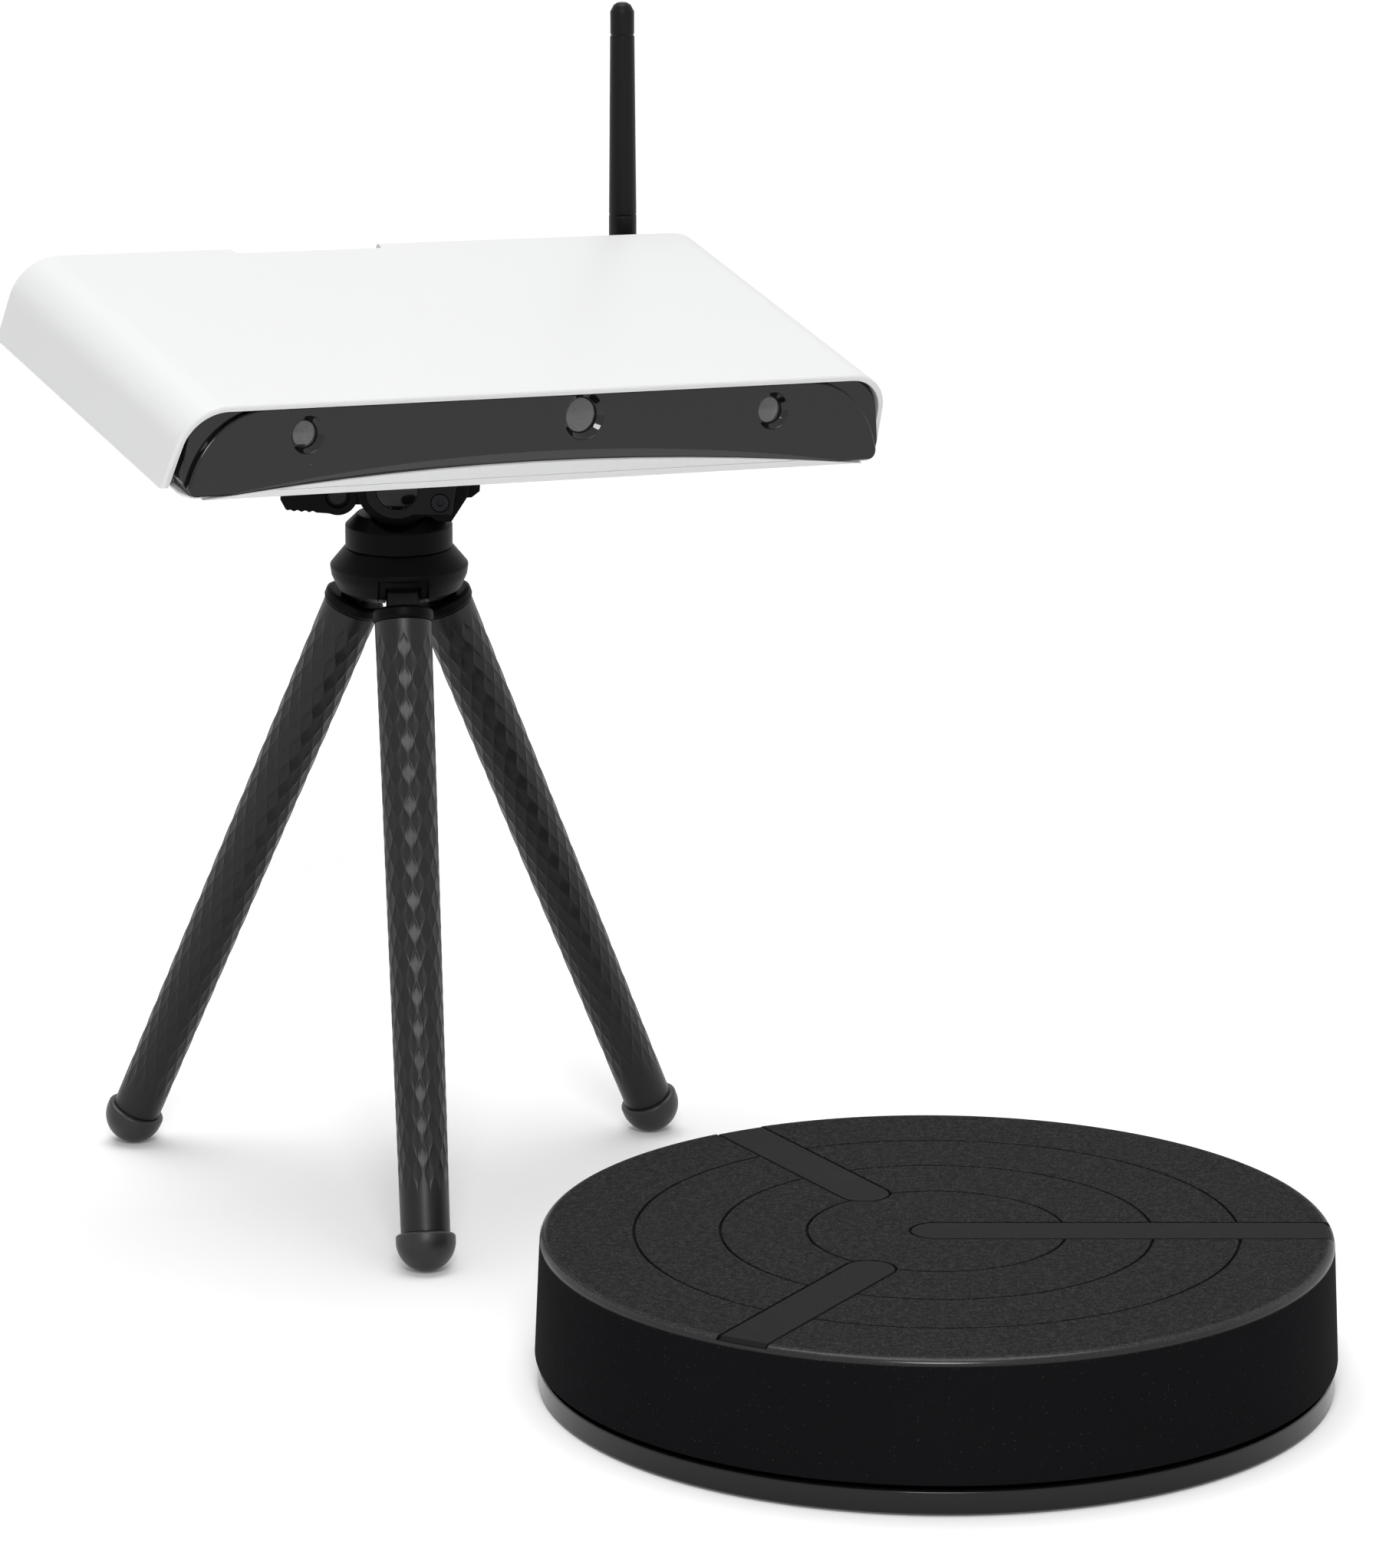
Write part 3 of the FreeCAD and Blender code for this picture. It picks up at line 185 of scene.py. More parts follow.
class Recipe(Graph):
    """One material in the making: a node tree around a Principled shader."""

    def __init__(self, name: str) -> None:
        """Starts a material with its Principled shader and output.

        Args:
            name: The material's name.
        """
        self.material = bpy.data.materials.new(name)
        super().__init__(self.material)
        self.shader = self.node("ShaderNodeBsdfPrincipled")
        self.node("ShaderNodeOutputMaterial", {}, {"Surface": self.shader.outputs[0]})
        self.place = self.node("ShaderNodeTexCoord").outputs["Object"]

    def noise(self, size_mm: float, detail: float = 2.0, rough: float = 0.5,
              stretch: Sequence[float] = (1.0, 1.0, 1.0)) -> Level:
        """Cloudy noise between 0 and 1.

        Args:
            size_mm: The width of its patches.
            detail: How many finer layers it has.
            rough: The strength of the finer layers.
            stretch: How many times finer it is along x, y and z.

        Returns:
            The noise.
        """
        spread = self.node("ShaderNodeMapping", {}, {"Vector": self.place, "Scale": stretch})
        made = self.node("ShaderNodeTexNoise", {},
                         {"Vector": spread.outputs[0], "Scale": 1.0 / (size_mm * MM),
                          "Detail": detail, "Roughness": rough})
        return Level(self, made.outputs["Fac"])

    def specks(self, spacing_mm: float, radius: float, share: float) -> Level:
        """Small round spots, 1 on a spot and 0 between.

        Args:
            spacing_mm: The mean distance between the cells that may hold a spot.
            radius: A spot's radius as a share of that distance.
            share: The share of the cells that hold one.

        Returns:
            The mask.
        """
        soft = 0.02
        cells = self.node("ShaderNodeTexVoronoi", {},
                          {"Vector": self.place, "Scale": 1.0 / (spacing_mm * MM)})
        near = 1.0 - Level(self, cells.outputs["Distance"]).above(radius * 0.5, radius)
        split = self.node("ShaderNodeSeparateColor", {}, {0: cells.outputs["Color"]})
        return near * Level(self, split.outputs[0]).above(1.0 - share, 1.0 - share + soft)

    def along(self, axis: int) -> Level:
        """One of the place's coordinates, in metres."""
        split = self.node("ShaderNodeSeparateXYZ", {}, {0: self.place})
        return Level(self, split.outputs[axis])

    def from_axis(self, centre: Vector, turn: Matrix) -> Level:
        """The distance from a line, in metres.

        Args:
            centre: A point on the line.
            turn: A rotation whose z is the line's direction.

        Returns:
            The distance.
        """
        back = turn.transposed().to_3x3()
        moved = self.node("ShaderNodeVectorMath", {"operation": "SUBTRACT"},
                          {0: self.place, 1: tuple(centre)})
        parts = []
        for row in (back[0], back[1]):
            dot = self.node("ShaderNodeVectorMath", {"operation": "DOT_PRODUCT"},
                            {0: moved.outputs[0], 1: tuple(row)})
            parts.append(Level(self, dot.outputs["Value"]))
        return (parts[0] * parts[0] + parts[1] * parts[1]) ** 0.5

    def tint(self, mask: Level, low: Colour, high: Colour) -> bpy.types.NodeSocket:
        """A colour between two.

        Args:
            mask: Where it lies between them.
            low: The colour where the mask is 0.
            high: The colour where the mask is 1.

        Returns:
            The mixed colour's socket.
        """
        made = self.node("ShaderNodeMix", {"data_type": "RGBA"},
                         {0: mask.socket, 6: (*low, 1.0), 7: (*high, 1.0)})
        return made.outputs[2]

    def mixed(self, mask: Level, low: bpy.types.NodeSocket,
              high: bpy.types.NodeSocket | Colour) -> bpy.types.NodeSocket:
        """A colour laid over another one.

        Args:
            mask: Where it covers the lower one.
            low: The lower colour's socket.
            high: The upper colour, or its socket.

        Returns:
            The mixed colour's socket.
        """
        over = high if isinstance(high, bpy.types.NodeSocket) else (*high, 1.0)
        made = self.node("ShaderNodeMix", {"data_type": "RGBA"},
                         {0: mask.socket, 6: low, 7: over})
        return made.outputs[2]

    def bump(self, height: Level, depth_mm: float,
             under: bpy.types.NodeSocket | None = None) -> bpy.types.NodeSocket:
        """A bumped normal.

        Args:
            height: The height between 0 and 1.
            depth_mm: How deep 1 is.
            under: A normal to bump further.

        Returns:
            The normal.
        """
        values: dict[str | int, Any] = {"Height": height.socket, "Distance": depth_mm * MM,
                                        "Strength": 1.0}
        if under is not None:
            values["Normal"] = under
        return self.node("ShaderNodeBump", {}, values).outputs[0]

    def done(self, **values: Any) -> bpy.types.Material:
        """Sets the Principled shader's sockets and hands the material over.

        Args:
            **values: Socket names with _ for a space, each a constant, a socket or a Level.

        Returns:
            The material.
        """
        for key, value in values.items():
            socket = self.shader.inputs[key.replace("_", " ")]
            if isinstance(value, Level):
                value = value.socket
            if isinstance(value, bpy.types.NodeSocket):
                self.tree.links.new(value, socket)
            elif socket.type == "RGBA":
                socket.default_value = (*value, 1.0)
            else:
                socket.default_value = value
        return self.material


# ---------------------------------------------------------------- finishes


def scaled(colour: Colour, by: float) -> Colour:
    """A colour made darker or paler."""
    return tuple(c * by for c in colour)


@dataclass(frozen=True)
class MouldedPlastic:
    """Opaque moulded plastic with a fine spark-eroded grain and a little dust."""

    colour: Colour
    roughness: float = 0.5
    grain_mm: float = 0.3
    grain_deep: float = 0.006
    specular: float = 0.5
    dust: float = 0.0
    dust_colour: Colour = (0.35, 0.35, 0.35)
    patch: float = 0.05
    patch_mm: float = 35.0
    mote_gap_mm: float = 2.6
    mote_size: float = 0.055
    sheen_mm: float = 14.0
    sheen_swing: float = 0.04

    def make(self, name: str) -> bpy.types.Material:
        """Builds the material.

        Args:
            name: The material's name.

        Returns:
            The material.
        """
        r = Recipe(name)
        shade = scaled(self.colour, 1.0 - self.patch)
        colour = r.tint(r.noise(self.patch_mm, detail=3.0), shade, self.colour)
        if self.dust:
            motes = r.specks(self.mote_gap_mm, self.mote_size, self.dust)
            colour = r.mixed(motes, colour, self.dust_colour)
        grain = r.noise(self.grain_mm, detail=3.0, rough=0.6)
        sheen = 2 * self.sheen_swing * r.noise(self.sheen_mm, detail=4.0)
        return r.done(Base_Color=colour, Roughness=self.roughness - self.sheen_swing + sheen,
                      Specular_IOR_Level=self.specular, Normal=r.bump(grain, self.grain_deep))


@dataclass(frozen=True)
class GlossPlastic:
    """Polished plastic: a mirror-like skin with faint waviness, smears and a few motes."""

    colour: Colour
    roughness: float = 0.06
    wave_deep: float = 0.004
    specular: float = 0.5
    motes: float = 0.05
    mote_gap_mm: float = 3.4
    mote_size: float = 0.04
    mote_colour: Colour = (0.3, 0.3, 0.3)
    mote_rough: float = 0.4
    smear_mm: float = 22.0
    smear_rough: float = 0.05
    wave_mm: float = 9.0

    def make(self, name: str) -> bpy.types.Material:
        """Builds the material.

        Args:
            name: The material's name.

        Returns:
            The material.
        """
        r = Recipe(name)
        motes = r.specks(self.mote_gap_mm, self.mote_size, self.motes)
        smear = r.noise(self.smear_mm, detail=5.0, rough=0.65, stretch=(1.0, 1.0, 3.0))
        rough = self.roughness + self.smear_rough * smear.above(0.5, 0.85) + self.mote_rough * motes
        wave = r.noise(self.wave_mm, detail=1.0)
        return r.done(Base_Color=r.tint(motes, self.colour, self.mote_colour), Roughness=rough,
                      Specular_IOR_Level=self.specular, Normal=r.bump(wave, self.wave_deep))


@dataclass(frozen=True)
class Rubber:
    """Black rubber: dull, with a soft sheen, a fine pebble and light lint."""

    colour: Colour
    roughness: float = 0.5
    specular: float = 0.45
    pebble_mm: float = 0.45
    pebble_deep: float = 0.02
    lint: float = 0.06
    lint_gap_mm: float = 2.2
    lint_size: float = 0.06
    lint_colour: Colour = (0.22, 0.22, 0.22)
    scuff_mm: float = 18.0
    scuff_pale: float = 1.9
    scuff_rough: float = 0.12
    rubbed_mm: float = 5.0
    rubbed: float = 0.05

    def make(self, name: str) -> bpy.types.Material:
        """Builds the material.

        Args:
            name: The material's name.

        Returns:
            The material.
        """
        r = Recipe(name)
        lint = r.specks(self.lint_gap_mm, self.lint_size, self.lint)
        scuff = r.noise(self.scuff_mm, detail=5.0, rough=0.7).above(0.52, 0.8)
        worn = r.tint(scuff, self.colour, scaled(self.colour, self.scuff_pale))
        rough = (self.roughness + self.scuff_rough * scuff
                 - self.rubbed * r.noise(self.rubbed_mm, detail=2.0))
        pebble = r.noise(self.pebble_mm, detail=2.0, rough=0.6)
        return r.done(Base_Color=r.mixed(lint, worn, self.lint_colour), Roughness=rough,
                      Specular_IOR_Level=self.specular, Normal=r.bump(pebble, self.pebble_deep))


@dataclass(frozen=True)
class GritCoat:
    """The platter's coarse black coat: a dense grit with pale dust that thickens at the rim, and a
    top painted paler than its sides as painted sheen.

    A band is two depths below the rim in millimetres, between which a mask runs from 0 to 1.
    """

    centre: Vector
    rim_mm: float
    rim_z: float
    side: Colour = (0.0064, 0.0064, 0.0078)
    side_cloud: float = 1.3
    side_grain: Colour = (0.0066, 0.0066, 0.0066)
    side_grain_pale: Colour = (0.0085, 0.0085, 0.0085)
    # top, top_cloud and the top grain are paler copies of the side colours: painted sheen for the
    # light the top catches
    top: Colour = (0.0128, 0.0124, 0.0131)
    top_cloud: float = 1.2
    painted_sheen_top_grain: Colour = (0.04, 0.039, 0.04)
    dust: Colour = (0.17, 0.17, 0.175)
    mote: Colour = (0.1, 0.1, 0.1)
    grit_mm: float = 0.55
    grit_deep: float = 0.09
    lump_mm: float = 2.4
    lump_deep: float = 0.03
    cloud_mm: float = 45.0
    dust_mm: float = 1.1
    rim_wide: float = 5.0
    edge_band: Band = (5.0, 1.0)
    top_band: Band = (1.3, 0.15)
    fillet_band: Band = (2.6, 1.8)
    roughness: float = 0.72
    specular: float = 0.008
    fillet_rough: float = 0.2

    def make(self, name: str) -> bpy.types.Material:
        """Builds the material.

        Args:
            name: The material's name.

        Returns:
            The material.
        """
        r = Recipe(name)
        height = r.along(2)

        def band(depths: Band) -> Level:
            """The mask of a band of heights."""
            return height.above(self.rim_z - depths[0] * MM, self.rim_z - depths[1] * MM)

        out = r.from_axis(self.centre, Matrix.Identity(4))
        rim = out.above((self.rim_mm - self.rim_wide) * MM, self.rim_mm * MM)
        level, edge = band(self.top_band), rim * band(self.edge_band)
        grit = r.noise(self.grit_mm, detail=4.0, rough=0.72)
        cloud = r.noise(self.cloud_mm, detail=4.0, rough=0.6)
        # painted sheen: the top band takes the paler top colour and grains, the sides keep the
        # darker ones
        coat = r.mixed(level, r.tint(cloud, self.side, scaled(self.side, self.side_cloud)),
                       r.tint(cloud, self.top, scaled(self.top, self.top_cloud)))
        pale = r.mixed(level, r.tint(cloud, self.side_grain, self.side_grain_pale), self.painted_sheen_top_grain)
        fine = r.noise(self.grit_mm, detail=4.0, rough=0.8)
        coarse = r.noise(4 * self.grit_mm, detail=3.0, rough=0.7)
        base = r.mixed((0.7 * fine + 0.3 * coarse).above(0.45, 0.6), coat, pale)
        settled = 0.04 + 0.2 * level + 0.9 * edge
        brush = r.noise(self.dust_mm, detail=3.0, rough=0.7).above(0.6, 0.72) * settled
        dusty = r.mixed(0.4 * brush * grit, base, self.dust)
        motes = (r.specks(spacing_mm=1.2, radius=0.16, share=0.22)
                 + r.specks(spacing_mm=3.0, radius=0.05, share=0.4))
        lumps = r.bump(r.noise(self.lump_mm, detail=2.0), self.lump_deep)
        return r.done(Base_Color=r.mixed(0.5 * motes, dusty, self.mote),
                      Roughness=self.roughness - 0.1 * grit, Specular_IOR_Level=self.specular,
                      Normal=r.bump(grit, self.grit_deep, lumps),
                      Coat_Weight=rim * band(self.fillet_band), Coat_Roughness=self.fillet_rough)


@dataclass(frozen=True)
class TurnedMetal:
    """Bare metal with fine tool marks across one axis."""

    colour: Colour
    roughness: float = 0.3
    marks: Triple = (1.0, 1.0, 14.0)
    mark_mm: float = 1.6
    mark_deep: float = 0.006
    mark_rough: float = 0.14
    stain_mm: float = 7.0
    stain: float = 0.82

    def make(self, name: str) -> bpy.types.Material:
        """Builds the material.

        Args:
            name: The material's name.

        Returns:
            The material.
        """
        r = Recipe(name)
        lines = r.noise(self.mark_mm, detail=4.0, rough=0.7, stretch=self.marks)
        stains = r.noise(self.stain_mm, detail=3.0)
        return r.done(Base_Color=r.tint(stains, scaled(self.colour, self.stain), self.colour),
                      Metallic=1.0, Roughness=self.roughness + self.mark_rough * lines,
                      Normal=r.bump(lines, self.mark_deep))


@dataclass(frozen=True)
class LensGlass:
    """A coated lens: dark glass with faint rings painted on as painted reflections, seen down its
    own axis.
    """

    centre: Vector
    turn: Matrix
    radius_mm: float
    colour: Colour = (0.022, 0.023, 0.024)
    # ring: the colour of the painted ring reflections; the smear is tinted with it too
    ring: Colour = (0.06, 0.06, 0.062)
    ring_turns: float = 21.0
    smear_mm: float = 2.5
    roughness: float = 0.07
    smear_rough: float = 0.12
    coat_rough: float = 0.03
    specular: float = 0.6

    def make(self, name: str) -> bpy.types.Material:
        """Builds the material.

        Args:
            name: The material's name.

        Returns:
            The material.
        """
        r = Recipe(name)
        out = r.from_axis(self.centre, self.turn) / (self.radius_mm * MM)
        # painted reflections: concentric rings in the colour, fading out towards the lens's edge
        ring_reflections = (out * self.ring_turns).sine().above(0.55, 0.95) * (1.0 - out.above(0.7, 1.0))
        smear = r.noise(self.smear_mm, detail=3.0)
        colour = r.tint(0.3 * ring_reflections + 0.5 * smear.above(0.45, 0.8), self.colour, self.ring)
        return r.done(Base_Color=colour, Roughness=self.roughness + self.smear_rough * smear,
                      Coat_Weight=1.0, Coat_Roughness=self.coat_rough,
                      Specular_IOR_Level=self.specular)


@dataclass(frozen=True)
class PrintedBoard:
    """A circuit board's green lacquer over copper tracks."""

    lacquer: Colour = (0.012, 0.09, 0.035)
    track: Colour = (0.03, 0.16, 0.06)
    cell_mm: float = 3.0
    tracks_per_cell: float = 30.0
    track_high: float = 0.03
    roughness: float = 0.3
    coat: float = 0.4

    def make(self, name: str) -> bpy.types.Material:
        """Builds the material.

        Args:
            name: The material's name.

        Returns:
            The material.
        """
        r = Recipe(name)
        cells = r.node("ShaderNodeTexVoronoi", {"distance": "MANHATTAN", "feature": "F1"},
                       {"Vector": r.place, "Scale": 1.0 / (self.cell_mm * MM)})
        rows = (Level(r, cells.outputs["Distance"]) * self.tracks_per_cell).sine()
        tracks = rows.above(0.3, 0.5)
        return r.done(Base_Color=r.tint(tracks, self.lacquer, self.track),
                      Roughness=self.roughness, Normal=r.bump(tracks, self.track_high),
                      Coat_Weight=self.coat)


Surface = MouldedPlastic | GlossPlastic | Rubber | TurnedMetal | PrintedBoard


class Finish(Enum):
    """What a piece is made of: the record's material slot, and the surface."""

    COVER = ("white_plastic", MouldedPlastic(
        (0.78, 0.783, 0.786), roughness=0.42, grain_mm=0.5, grain_deep=0.002, specular=0.22,
        dust=0.01, dust_colour=(0.5, 0.5, 0.48), patch=0.01))
    PANEL = ("gloss_black", GlossPlastic((0.005, 0.005, 0.0055), roughness=0.05, specular=0.4))
    # the facet's finish: the front's gloss black painted paler, a painted reflection for the
    # lighter sheen over the chin
    FACET_PAINTED_REFLECTION = ("gloss_black", GlossPlastic((0.03, 0.03, 0.031), roughness=0.08, specular=0.45))
    RING = ("gloss_black", GlossPlastic(
        (0.009, 0.009, 0.0094), roughness=0.16, specular=0.25, motes=0.12))
    BADGE = ("gloss_black", GlossPlastic((0.003, 0.003, 0.003), roughness=0.12, specular=0.25))
    BODY = ("black_plastic", MouldedPlastic(
        (0.0018, 0.0018, 0.002), roughness=0.42, grain_mm=0.35, grain_deep=0.012, specular=0.06,
        dust=0.02))
    SATIN = ("black_plastic", MouldedPlastic(
        (0.003, 0.003, 0.0032), roughness=0.34, grain_mm=0.4, grain_deep=0.004, specular=0.12,
        dust=0.015))
    ROD = ("black_plastic", MouldedPlastic(
        (0.006, 0.006, 0.0062), roughness=0.4, grain_mm=0.4, grain_deep=0.004, specular=0.14,
        dust=0.02))
    LEG = ("black_rubber", Rubber(
        (0.0028, 0.0028, 0.0032), roughness=0.4, specular=0.34, pebble_mm=0.55,
        pebble_deep=0.003, lint=0.04))
    FOOT = ("black_rubber", Rubber(
        (0.014, 0.014, 0.0148), roughness=0.42, specular=0.4, pebble_mm=0.5, pebble_deep=0.01,
        lint=0.05))
    STRIP = ("black_rubber", Rubber(
        (0.0115, 0.0115, 0.012), roughness=0.6, specular=0.03, pebble_mm=0.5, pebble_deep=0.03,
        lint=0.12))
    STEEL = ("steel", TurnedMetal((0.58, 0.585, 0.6)))
    BLACKED = ("steel", TurnedMetal((0.02, 0.02, 0.022), roughness=0.42))
    BRASS = ("brass", TurnedMetal((0.78, 0.6, 0.3), roughness=0.26))
    GOLD = ("brass", TurnedMetal((0.9, 0.68, 0.3), roughness=0.2))
    ALLOY = ("aluminium", TurnedMetal((0.72, 0.73, 0.75), roughness=0.34))
    SHIELD = ("socket_metal", TurnedMetal(
        (0.62, 0.62, 0.63), roughness=0.28, marks=(1.0, 1.0, 1.0)))
    GEAR = ("gear_plastic", MouldedPlastic(
        (0.7, 0.68, 0.62), roughness=0.4, grain_mm=0.6, grain_deep=0.004))
    BOARD = ("board", PrintedBoard())

    @property
    def slot(self) -> str:
        """The record's material slot."""
        return self.value[0]

    @property
    def surface(self) -> Surface:
        """The surface that makes the material."""
        return self.value[1]


class Palette:
    """Makes each finish's material once."""

    made: dict[str, bpy.types.Material] = {}

    @classmethod
    def of(cls, finish: Finish) -> bpy.types.Material:
        """Finds a finish's material, and makes it the first time.

        Args:
            finish: The finish.

        Returns:
            Its material.
        """
        name = finish.name.lower()
        if name not in cls.made:
            cls.made[name] = finish.surface.make(name)
        return cls.made[name]


# ---------------------------------------------------------------- mesh forms


def arc(centre: Point, radius: float, start: float, end: float, steps: int) -> list[Point]:
    """Points along an arc.

    Args:
        centre: Its middle.
        radius: Its radius.
        start: Its first angle, in degrees.
        end: Its last angle, in degrees.
        steps: How many spans it has.

    Returns:
        The points, both ends included.
    """
    angles = [math.radians(start + (end - start) * i / steps) for i in range(steps + 1)]
    return [(centre[0] + radius * math.cos(a), centre[1] + radius * math.sin(a)) for a in angles]


def eased(corners: Sequence[Point], radii: dict[int, float], steps: int = 6,
          closed: bool = False) -> list[Point]:
    """An outline with some of its corners rounded.

    Args:
        corners: The sharp corners, in order.
        radii: The radius of each rounded corner, by its place in the list.
        steps: How many spans each rounding has.
        closed: Whether the last corner joins the first.

    Returns:
        The rounded outline's points.
    """
    points: list[Point] = []
    count = len(corners)
    for i, corner in enumerate(corners):
        radius = radii.get(i, 0.0)
        if radius <= 0 or (not closed and i in (0, count - 1)):
            points.append(tuple(corner))
            continue
        here = Vector(corner)
        back = (Vector(corners[i - 1]) - here).normalized()
        on = (Vector(corners[(i + 1) % count]) - here).normalized()
        half = back.angle(on) / 2
        reach = radius / math.tan(half)
        middle = here + (back + on).normalized() * (radius / math.sin(half))
        first, last = here + back * reach - middle, here + on * reach - middle
        sweep = math.atan2(first.x * last.y - first.y * last.x, first.dot(last))
        for k in range(steps + 1):
            a = sweep * k / steps
            points.append((middle.x + first.x * math.cos(a) - first.y * math.sin(a),
                           middle.y + first.x * math.sin(a) + first.y * math.cos(a)))
    return points


class Form:
    """A mesh in the making, in millimetres on its own axes."""

    def __init__(self) -> None:
        """Starts from nothing."""
        self.mesh = bmesh.new()

    @classmethod
    def turned(cls, profile: Sequence[Point], steps: int, closed: bool = False) -> Self:
        """Spins a profile round z.

        Args:
            profile: Points of radius and height.
            steps: How many spans the full turn has.
            closed: Whether the profile's last point joins its first, as in a ring.

        Returns:
            The turned form.
        """
        form = cls()
        verts = [form.mesh.verts.new((r, 0.0, z)) for r, z in profile]
        pairs = list(zip(verts, verts[1:] + verts[:1])) if closed else list(zip(verts, verts[1:]))
        edges = [form.mesh.edges.new(pair) for pair in pairs]
        bmesh.ops.spin(form.mesh, geom=verts + edges, cent=(0, 0, 0), axis=(0, 0, 1),
                       angle=math.tau, steps=steps, use_merge=True)
        return form.clean()

    @classmethod
    def slab(cls, outline: Sequence[Point], near: float, far: float) -> Self:
        """Thickens a flat outline along y.

        Args:
            outline: Its corners in x and z.
            near: The y of its first side.
            far: The y of its second side.

        Returns:
            The slab.
        """
        form = cls()
        face = form.mesh.faces.new([form.mesh.verts.new((x, near, z)) for x, z in outline])
        made = bmesh.ops.extrude_face_region(form.mesh, geom=[face])
        moved = [v for v in made["geom"] if isinstance(v, bmesh.types.BMVert)]
        bmesh.ops.translate(form.mesh, verts=moved, vec=(0, far - near, 0))
        return form.outward()

    @classmethod
    def plate(cls, outline: Sequence[Point], low: float, high: float) -> Self:
        """Thickens a flat outline in x and y along z."""
        form = cls.slab([(x, -y) for x, y in outline], low, high)
        return form.moved(Matrix.Rotation(math.radians(90), 4, "X"))

    @classmethod
    def block(cls, size: Sequence[float], middle: Sequence[float]) -> Self:
        """A plain block.

        Args:
            size: Its three sides.
            middle: Where its middle is.

        Returns:
            The block.
        """
        form = cls()
        bmesh.ops.create_cube(form.mesh, size=1.0)
        return form.moved(Matrix.Translation(middle) @ Matrix.Diagonal((*size, 1.0)))

    @classmethod
    def of_node(cls, node: str) -> Self:
        """Copies a CAD node's mesh, merged and with its flat faces joined, in millimetres.

        Args:
            node: The CAD node.

        Returns:
            The copy.
        """
        form = cls()
        form.mesh.from_mesh(frame["nodes"][node].data)
        form.moved(Matrix.Scale(1.0 / MM, 4))
        bmesh.ops.remove_doubles(form.mesh, verts=form.mesh.verts, dist=10 * NEAR)
        bmesh.ops.dissolve_degenerate(form.mesh, dist=NEAR, edges=form.mesh.edges)
        bmesh.ops.dissolve_limit(form.mesh, angle_limit=math.radians(0.3),
                                 verts=form.mesh.verts, edges=form.mesh.edges)
        return form

    def clean(self) -> Self:
        """Merges doubles and turns the faces outwards."""
        bmesh.ops.remove_doubles(self.mesh, verts=self.mesh.verts, dist=NEAR)
        return self.outward()

    def outward(self) -> Self:
        """Turns the faces outwards."""
        bmesh.ops.recalc_face_normals(self.mesh, faces=self.mesh.faces)
        return self

    def moved(self, matrix: Matrix) -> Self:
        """Carries every vertex by a matrix.

        Args:
            matrix: The matrix; a mirror also turns the faces round.

        Returns:
            The form.
        """
        bmesh.ops.transform(self.mesh, matrix=matrix, verts=self.mesh.verts)
        if matrix.determinant() < 0:
            bmesh.ops.reverse_faces(self.mesh, faces=self.mesh.faces)
        return self

    def at(self, x: float = 0.0, y: float = 0.0, z: float = 0.0) -> Self:
        """Shifts the form."""
        return self.moved(Matrix.Translation((x, y, z)))

    def turn(self, axis: str, degrees: float) -> Self:
        """Turns the form round one of its own axes."""
        return self.moved(Matrix.Rotation(math.radians(degrees), 4, axis))

    def joined(self, *others: "Form") -> Self:
        """Adds other forms' shells to this one.

        Args:
            *others: The other forms.

        Returns:
            The form.
        """
        for other in others:
            spare = bpy.data.meshes.new("spare")
            other.mesh.to_mesh(spare)
            self.mesh.from_mesh(spare)
            bpy.data.meshes.remove(spare)
        return self

    def softened(self, width: float, segments: int = 2, angle: float = 32.0,
                 pick: Callable[[bmesh.types.BMEdge], bool] | None = None) -> Self:
        """Rounds the edges that are sharper than an angle.

        Args:
            width: How far the rounding reaches from the edge.
            segments: How many spans it has.
            angle: The least angle between the faces, in degrees.
            pick: Which of those edges to take, all if left out.

        Returns:
            The form.
        """
        edges = [e for e in self.mesh.edges
                 if len(e.link_faces) == 2 and e.calc_face_angle(0.0) > math.radians(angle)
                 and (pick is None or pick(e))]
        bmesh.ops.bevel(self.mesh, geom=edges, offset=width, offset_type="OFFSET",
                        affect="EDGES", segments=segments, profile=0.5, material=-1,
                        clamp_overlap=False)
        return self

    def cut_by(self, point: Sequence[float], normal: Vector) -> Self:
        """Cuts off what lies ahead of a plane, and closes the cut.

        Args:
            point: A point of the plane.
            normal: The way that is cut off.

        Returns:
            The form.
        """
        geom = [*self.mesh.verts, *self.mesh.edges, *self.mesh.faces]
        made = bmesh.ops.bisect_plane(self.mesh, geom=geom, dist=NEAR / 10, plane_co=point,
                                      plane_no=normal, clear_outer=True)
        rim = [e for e in made["geom_cut"] if isinstance(e, bmesh.types.BMEdge)]
        bmesh.ops.holes_fill(self.mesh, edges=rim, sides=0)
        return self.outward()

    def minus(self, *cutters: "Form") -> Self:
        """Takes other forms out of this one."""
        return self._combined("DIFFERENCE", cutters)

    def plus(self, *others: "Form") -> Self:
        """Joins other forms that overlap this one into a single skin."""
        return self._combined("UNION", others)

    def _combined(self, operation: str, others: Sequence["Form"]) -> Self:
        """Combines this form with others, one after another.

        Args:
            operation: UNION or DIFFERENCE.
            others: The other forms, which are used up.

        Returns:
            The form.
        """
        body = self._object()
        tools = [other._object() for other in others]
        for tool in tools:
            step = body.modifiers.new("step", "BOOLEAN")
            step.operation, step.solver, step.object = operation, "EXACT", tool
        bpy.context.view_layer.update()
        graph = bpy.context.evaluated_depsgraph_get()
        made = bpy.data.meshes.new_from_object(body.evaluated_get(graph))
        self.mesh.clear()
        self.mesh.from_mesh(made)
        bpy.data.meshes.remove(made)
        for spare in (body, *tools):
            mesh = spare.data
            bpy.data.objects.remove(spare)
            bpy.data.meshes.remove(mesh)
        bmesh.ops.remove_doubles(self.mesh, verts=self.mesh.verts, dist=NEAR)
        return self

    def _object(self) -> bpy.types.Object:
        """Makes a spare object that holds the form while a cut is made.

        Returns:
            The object, whose caller removes it.
        """
        mesh = bpy.data.meshes.new("spare")
        self.mesh.to_mesh(mesh)
        spare = bpy.data.objects.new("spare", mesh)
        bpy.context.scene.collection.objects.link(spare)
        return spare


